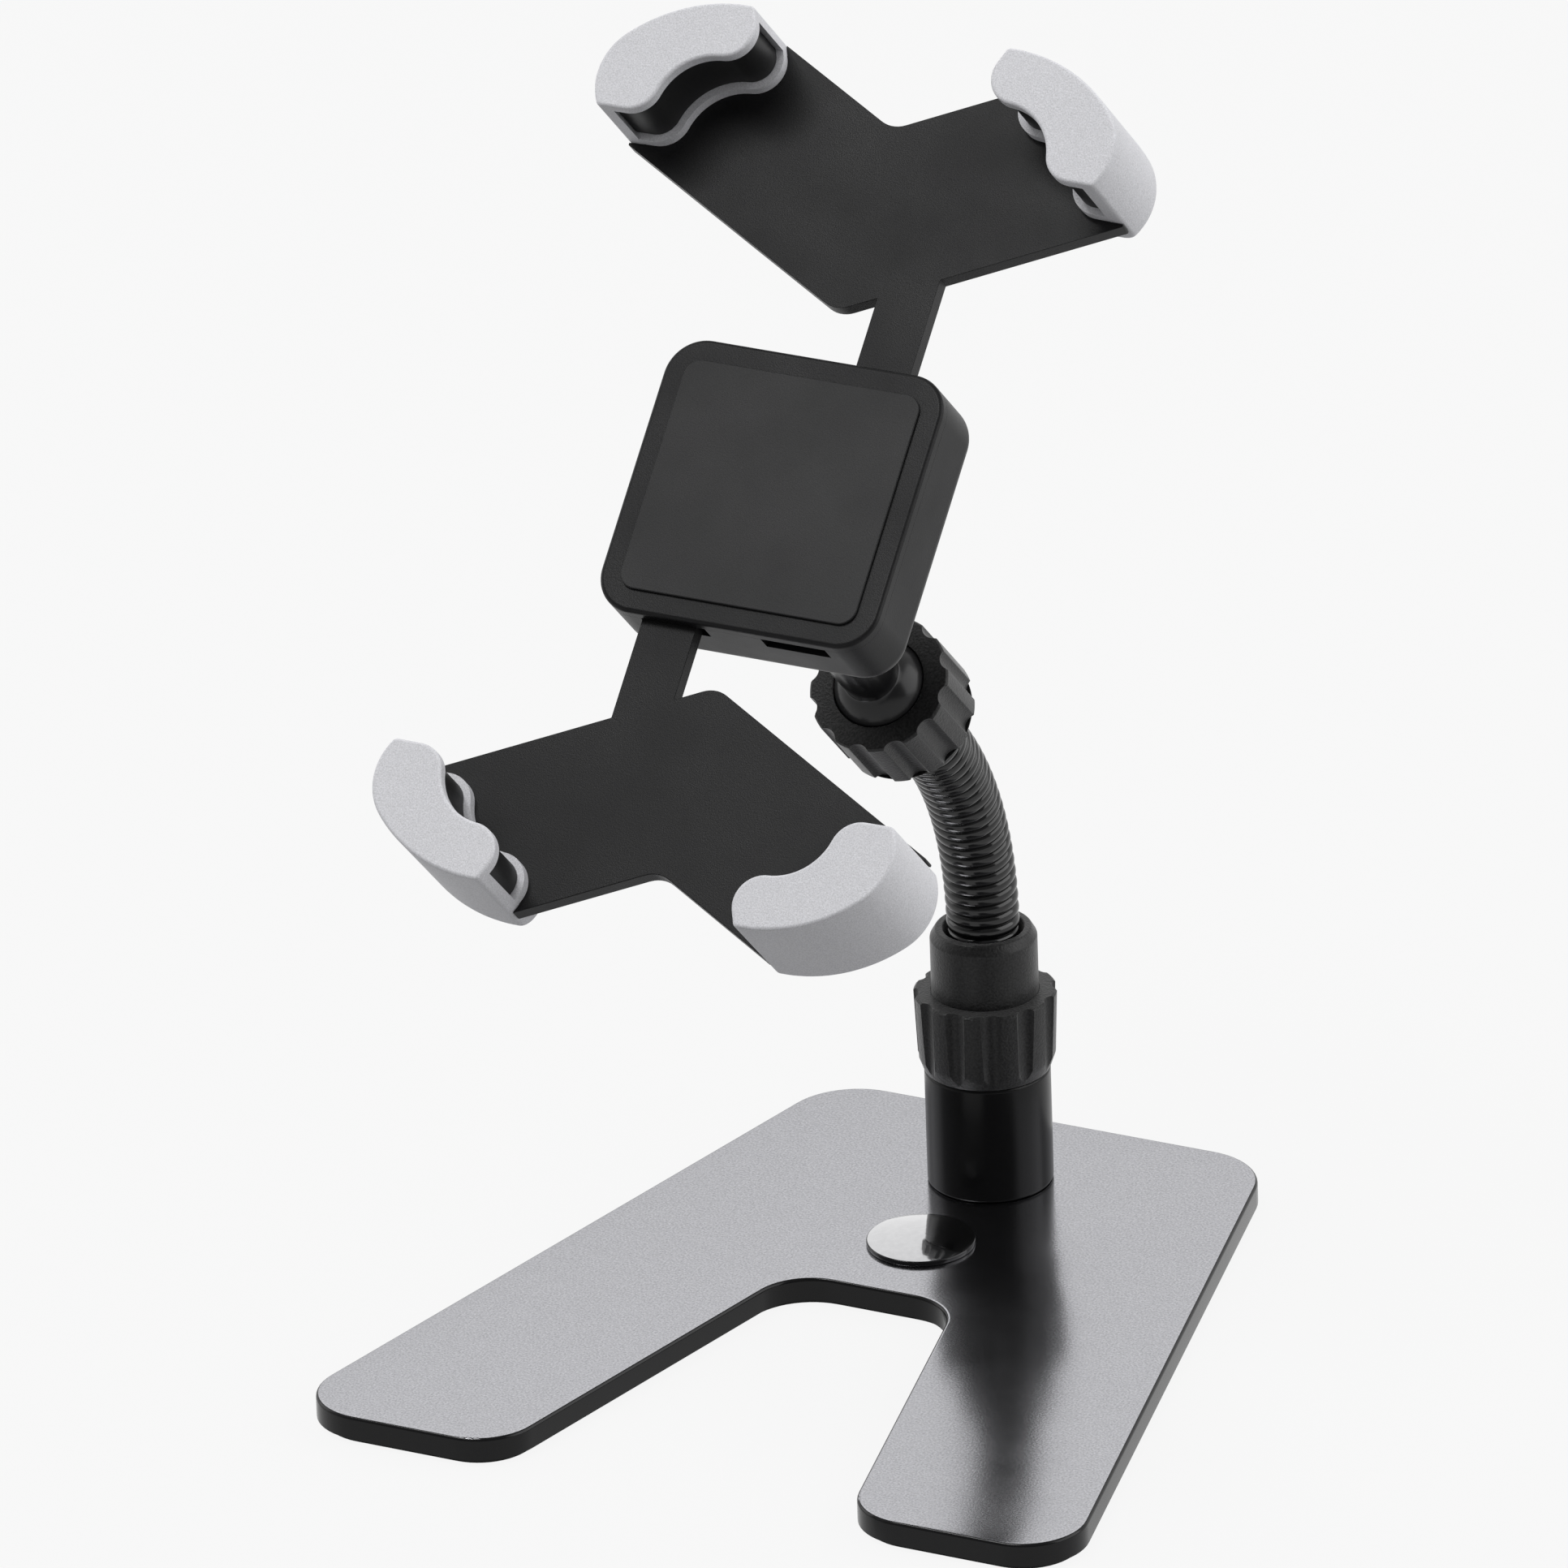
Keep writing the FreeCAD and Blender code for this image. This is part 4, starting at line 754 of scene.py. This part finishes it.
@dataclass
class BasePlate:
    """The base: plate, rubber sheet, post, badge and the hardware in it.

    Attributes:
        plate_lit_facing: Least height of the normal of the plate's faces that get the bright metal,
            a painted reflection on the lit top.
        badge_facing: Least height of the normal of the badge's foil; the badge's other faces get a
            near-black painted shade on its rim.
    """

    plate_lit_facing: float = 0.92
    badge_facing: float = 0.9

    def build(self, kit: ShaderKit) -> None:
        """Dress the base's pieces."""
        plate = SoftCopy("base_plate", PLATE_SHADED_EDGE, edge=0.0, sharp=40.0).build(kit)
        # Upward faces get the bright metal, a painted reflection on the plate's lit top; the
        # near-black rest is painted shade.
        self._face(plate, kit.material(PLATE_LIT_TOP, "plate_lit_top"), self.plate_lit_facing)
        SoftCopy("non_slip_sheet", SHEET_RUBBER, edge=0.15 * MM).build(kit)
        SoftCopy("post", POST_GLOSS, edge=0.3 * MM).build(kit)
        # The badge's sloping faces are near black, painted shade on its rim; its upward faces get
        # the foil.
        badge = SoftCopy("badge_dome", BADGE_SHADED_RIM, edge=0.2 * MM, sharp=20.0).build(kit)
        self._face(badge, kit.material(BADGE_FOIL, "badge_foil"), self.badge_facing)
        SoftCopy("post_screw", SCREW_STEEL, edge=0.15 * MM).build(kit)
        SoftCopy("swivel_washer", WASHER_NYLON, edge=0.1 * MM).build(kit)

    @staticmethod
    def _face(piece: bpy.types.Object, material: bpy.types.Material, facing: float) -> None:
        """Give the faces of a piece that look up a second material.

        Args:
            piece: The piece.
            material: The second material.
            facing: Least height of the normal of a face that gets it.
        """
        piece.data.materials.append(material)
        for face in piece.data.polygons:
            if face.normal.z > facing:
                face.material_index = 1


@dataclass
class Joints:
    """The nuts, ferrule, socket and ball stud.

    Attributes:
        nut_edge: Width of the nuts' softened edges.
        body_edge: Width of the ferrule's and the socket's softened edges.
        sharp: Angle above which an edge of these is softened, in degrees.
    """

    nut_edge: float = 0.12 * MM
    body_edge: float = 0.25 * MM
    sharp: float = 24.0

    def build(self, kit: ShaderKit) -> None:
        """Dress the joints' pieces."""
        for nut in ("lower_nut", "upper_nut"):
            SoftCopy(nut, GRAINED_BLACK, edge=self.nut_edge, sharp=self.sharp).build(kit)
        for node in ("ferrule", "ball_socket"):
            SoftCopy(node, GRAINED_BLACK, edge=self.body_edge, sharp=self.sharp).build(kit)
        SoftCopy("socket_liner", WASHER_NYLON, edge=0.1 * MM).build(kit)
        SoftCopy("ball_stud", STUD_GLOSS, edge=0.3 * MM, sharp=28.0).build(kit)
        SoftCopy("stud_washer", SCREW_STEEL, edge=0.1 * MM).build(kit)
        SoftCopy("stud_screw", SCREW_STEEL, edge=0.2 * MM).build(kit)


@dataclass
class Holder:
    """The holder: housing, pad, gear, yokes, claws, inserts and screws.

    Attributes:
        levels: Names of the two yokes' levels.
        sides: Names of the sides that each yoke has a claw on.
        screws: The groups of screws.
        claw_edge: Width of the softened edges of claws and inserts.
        claw_sharp: Angle above which an edge of these is softened, in degrees.
    """

    levels: tuple[str, ...] = ("upper", "lower")
    sides: tuple[str, ...] = ("left", "right")
    screws: tuple[str, ...] = ("housing_screws", "upper_claw_screws", "lower_claw_screws")
    claw_edge: float = 0.3 * MM
    claw_sharp: float = 30.0

    def build(self, kit: ShaderKit) -> None:
        """Dress the holder's pieces."""
        for node in ("housing_back", "housing_cover"):
            SoftCopy(node, ARM_SATIN, edge=0.25 * MM).build(kit)
        SoftCopy("front_pad", INSERT_RUBBER, edge=0.2 * MM).build(kit)
        SoftCopy("pinion", GEAR_PLASTIC, edge=0.08 * MM).build(kit)
        SoftCopy("pinion_pin", SCREW_STEEL, edge=0.15 * MM).build(kit)
        for node in self.screws:
            ScrewSet(node).build(kit)
        for level in self.levels:
            SoftCopy(f"{level}_yoke", ARM_SATIN, edge=0.3 * MM).build(kit)
            for side in self.sides:
                for name, finish in (("claw", CLAW_GREY), ("insert", INSERT_RUBBER)):
                    SoftCopy(f"{name}_{level}_{side}", finish, edge=self.claw_edge,
                             sharp=self.claw_sharp).build(kit)


@dataclass(frozen=True)
class Lamp:
    """A soft flat lamp.

    Attributes:
        name: Its name.
        place: Where it hangs.
        sides: Its width and height.
        power: Its power, in watts.
    """

    name: str
    place: tuple[float, float, float]
    sides: tuple[float, float]
    power: float


LAMPS = (
    Lamp("top_light", (-0.6, -1.2, 2.9), (1.8, 0.6), 45.0),
    Lamp("left_light", (-2.1, -0.06, 0.85), (1.2, 1.5), 6.0),
    Lamp("right_light", (1.95, 0.5, 0.95), (2.2, 1.8), 27.0),
)


@dataclass
class Studio:
    """The pale floor, the light and the photograph's camera.

    Attributes:
        photo_size: Width and height of the photograph, in pixels.
        origin_pixel: Where the plate's underside meets the post's axis in the photograph.
        pixels_per_mm: Scale of the photograph at that point.
        azimuth: Direction of the camera to the right of the front, in degrees.
        elevation: Height of the camera, in degrees.
        roll: Turn of the camera about its view, in degrees.
        distance: Distance of the camera from that point.
        sensor: Width of the camera's sensor, in millimetres.
        clip: Nearest and farthest distance that the camera sees.
        aim: The point that the lamps look at.
        floor_half: Half the floor's width.
        floor_shade: The floor's grey, as the light that falls on it finds it.
        floor_roughness: The floor's roughness.
        floor_specular: Strength of the floor's mirror reflection.
        floor_glow: Share of plain white in what the camera and mirrors see of the floor.
        surround_front: Brightness of the surround on the camera's side.
        surround_back: Brightness of the surround behind the stand.
        surround_spread: How far the change between them reaches, as a share of the way.
    """

    photo_size: float = 1932.0
    origin_pixel: tuple[float, float] = (1221.62, 1476.08)
    pixels_per_mm: float = 7.07762
    azimuth: float = 26.8605
    elevation: float = 25.1308
    roll: float = -1.9937
    distance: float = 3796.3 * MM
    sensor: float = 36.0
    clip: tuple[float, float] = (0.05, 100.0)
    aim: tuple[float, float, float] = (0.0, -0.06, 0.11)
    floor_half: float = 6.0
    floor_shade: float = 0.3
    floor_roughness: float = 0.9
    floor_specular: float = 0.1
    floor_glow: float = 0.9
    surround_front: float = 0.25
    surround_back: float = 1.0
    surround_spread: float = 0.8

    def build(self) -> None:
        """Set the view, the world, the floor, the lamps and the camera."""
        bpy.context.scene.view_settings.view_transform = "Standard"
        self._world()
        self._floor()
        for lamp in LAMPS:
            self._lamp(lamp)
        self._camera()

    def _camera(self) -> None:
        """Place the camera so that it sees the stand as the photograph does."""
        angles = (self.azimuth, self.elevation, self.roll)
        azimuth, elevation, roll = (math.radians(angle) for angle in angles)
        back = Vector((math.sin(azimuth) * math.cos(elevation),
                       -math.cos(azimuth) * math.cos(elevation), math.sin(elevation)))
        level = Vector((math.cos(azimuth), math.sin(azimuth), 0.0))
        upright = back.cross(level)
        right = level * math.cos(roll) + upright * math.sin(roll)
        up = upright * math.cos(roll) - level * math.sin(roll)
        middle = self.photo_size / 2
        across = (middle - self.origin_pixel[0]) / self.pixels_per_mm * MM
        along = (self.origin_pixel[1] - middle) / self.pixels_per_mm * MM
        ground = Vector((0.0, 0.0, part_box("base_plate")[0].z))
        data = bpy.data.cameras.new("photo_camera")
        data.sensor_width = self.sensor
        data.sensor_fit = "HORIZONTAL"
        data.lens = self.pixels_per_mm / MM * self.distance * self.sensor / self.photo_size
        data.clip_start, data.clip_end = self.clip
        camera = bpy.data.objects.new("photo_camera", data)
        turn = Matrix((right, up, back)).transposed().to_4x4()
        place = ground + right * across + up * along + back * self.distance
        camera.matrix_world = Matrix.Translation(place) @ turn
        bpy.context.scene.collection.objects.link(camera)
        bpy.context.scene.camera = camera

    @staticmethod
    def _seen(tree: bpy.types.NodeTree, share: float) -> bpy.types.NodeSocket:
        """Return a share on rays from a camera, gloss or glass, and 0 on rays that bring light.

        Args:
            tree: The tree of the floor's material.
            share: The share.

        Returns:
            The socket that holds it.
        """
        path = tree.nodes.new("ShaderNodeLightPath")
        either = tree.nodes.new("ShaderNodeMath")
        either.operation = "MAXIMUM"
        tree.links.new(path.outputs["Is Camera Ray"], either.inputs[0])
        tree.links.new(path.outputs["Is Glossy Ray"], either.inputs[1])
        any_of = tree.nodes.new("ShaderNodeMath")
        any_of.operation = "MAXIMUM"
        tree.links.new(either.outputs[0], any_of.inputs[0])
        tree.links.new(path.outputs["Is Transmission Ray"], any_of.inputs[1])
        scaled = tree.nodes.new("ShaderNodeMath")
        scaled.operation = "MULTIPLY"
        scaled.inputs[1].default_value = share
        tree.links.new(any_of.outputs[0], scaled.inputs[0])
        return scaled.outputs[0]

    def _world(self) -> None:
        """Surround the stand with soft light, bright behind it and dim on the camera's side."""
        world = bpy.data.worlds.new("studio_world")
        world.use_nodes = True
        tree = world.node_tree
        shade = tree.nodes["Background"]
        shade.inputs["Color"].default_value = grey(1.0)
        place = tree.nodes.new("ShaderNodeTexCoord")
        along = tree.nodes.new("ShaderNodeVectorMath")
        along.operation = "DOT_PRODUCT"
        azimuth = math.radians(self.azimuth)
        along.inputs[1].default_value = (-math.sin(azimuth), math.cos(azimuth), 0.0)
        level = tree.nodes.new("ShaderNodeMapRange")
        level.interpolation_type = "SMOOTHSTEP"
        level.inputs["From Min"].default_value = -self.surround_spread
        level.inputs["From Max"].default_value = self.surround_spread
        level.inputs["To Min"].default_value = self.surround_front
        level.inputs["To Max"].default_value = self.surround_back
        tree.links.new(place.outputs["Generated"], along.inputs[0])
        tree.links.new(along.outputs["Value"], level.inputs["Value"])
        tree.links.new(level.outputs["Result"], shade.inputs["Strength"])
        bpy.context.scene.world = world

    def _floor(self) -> None:
        """Lay the pale floor that the stand rests on and throws its shadow on."""
        mesh = bpy.data.meshes.new("floor")
        half = self.floor_half
        corners = [(-half, -half, 0), (half, -half, 0), (half, half, 0), (-half, half, 0)]
        mesh.from_pydata(corners, [], [(0, 1, 2, 3)])
        floor = bpy.data.objects.new("floor", mesh)
        bpy.context.scene.collection.objects.link(floor)
        material = bpy.data.materials.new("pale_floor")
        material.use_nodes = True
        tree = material.node_tree
        shader = tree.nodes["Principled BSDF"]
        shader.inputs["Base Color"].default_value = grey(self.floor_shade)
        shader.inputs["Roughness"].default_value = self.floor_roughness
        shader.inputs["Specular IOR Level"].default_value = self.floor_specular
        glow = tree.nodes.new("ShaderNodeEmission")
        mix = tree.nodes.new("ShaderNodeMixShader")
        tree.links.new(self._seen(tree, self.floor_glow), mix.inputs["Fac"])
        tree.links.new(shader.outputs["BSDF"], mix.inputs[1])
        tree.links.new(glow.outputs["Emission"], mix.inputs[2])
        tree.links.new(mix.outputs["Shader"], tree.nodes["Material Output"].inputs["Surface"])
        mesh.materials.append(material)

    def _lamp(self, lamp: Lamp) -> None:
        """Hang a lamp so that it points at the stand."""
        data = bpy.data.lights.new(lamp.name, "AREA")
        data.shape = "RECTANGLE"
        data.size, data.size_y = lamp.sides
        data.energy = lamp.power
        hung = bpy.data.objects.new(lamp.name, data)
        hung.location = lamp.place
        look = Vector(self.aim) - Vector(lamp.place)
        hung.rotation_euler = look.to_track_quat("-Z", "Y").to_euler()
        bpy.context.scene.collection.objects.link(hung)


def main() -> None:
    """Build the stand's pieces in order, then the studio, and note the sizes."""
    logging.basicConfig(level=logging.INFO, format="%(message)s")
    kit = ShaderKit()
    for assembly in (BasePlate(), Joints(), Gooseneck(), Holder()):
        assembly.build(kit)
    Studio().build()


if __name__ == "__main__":
    main()
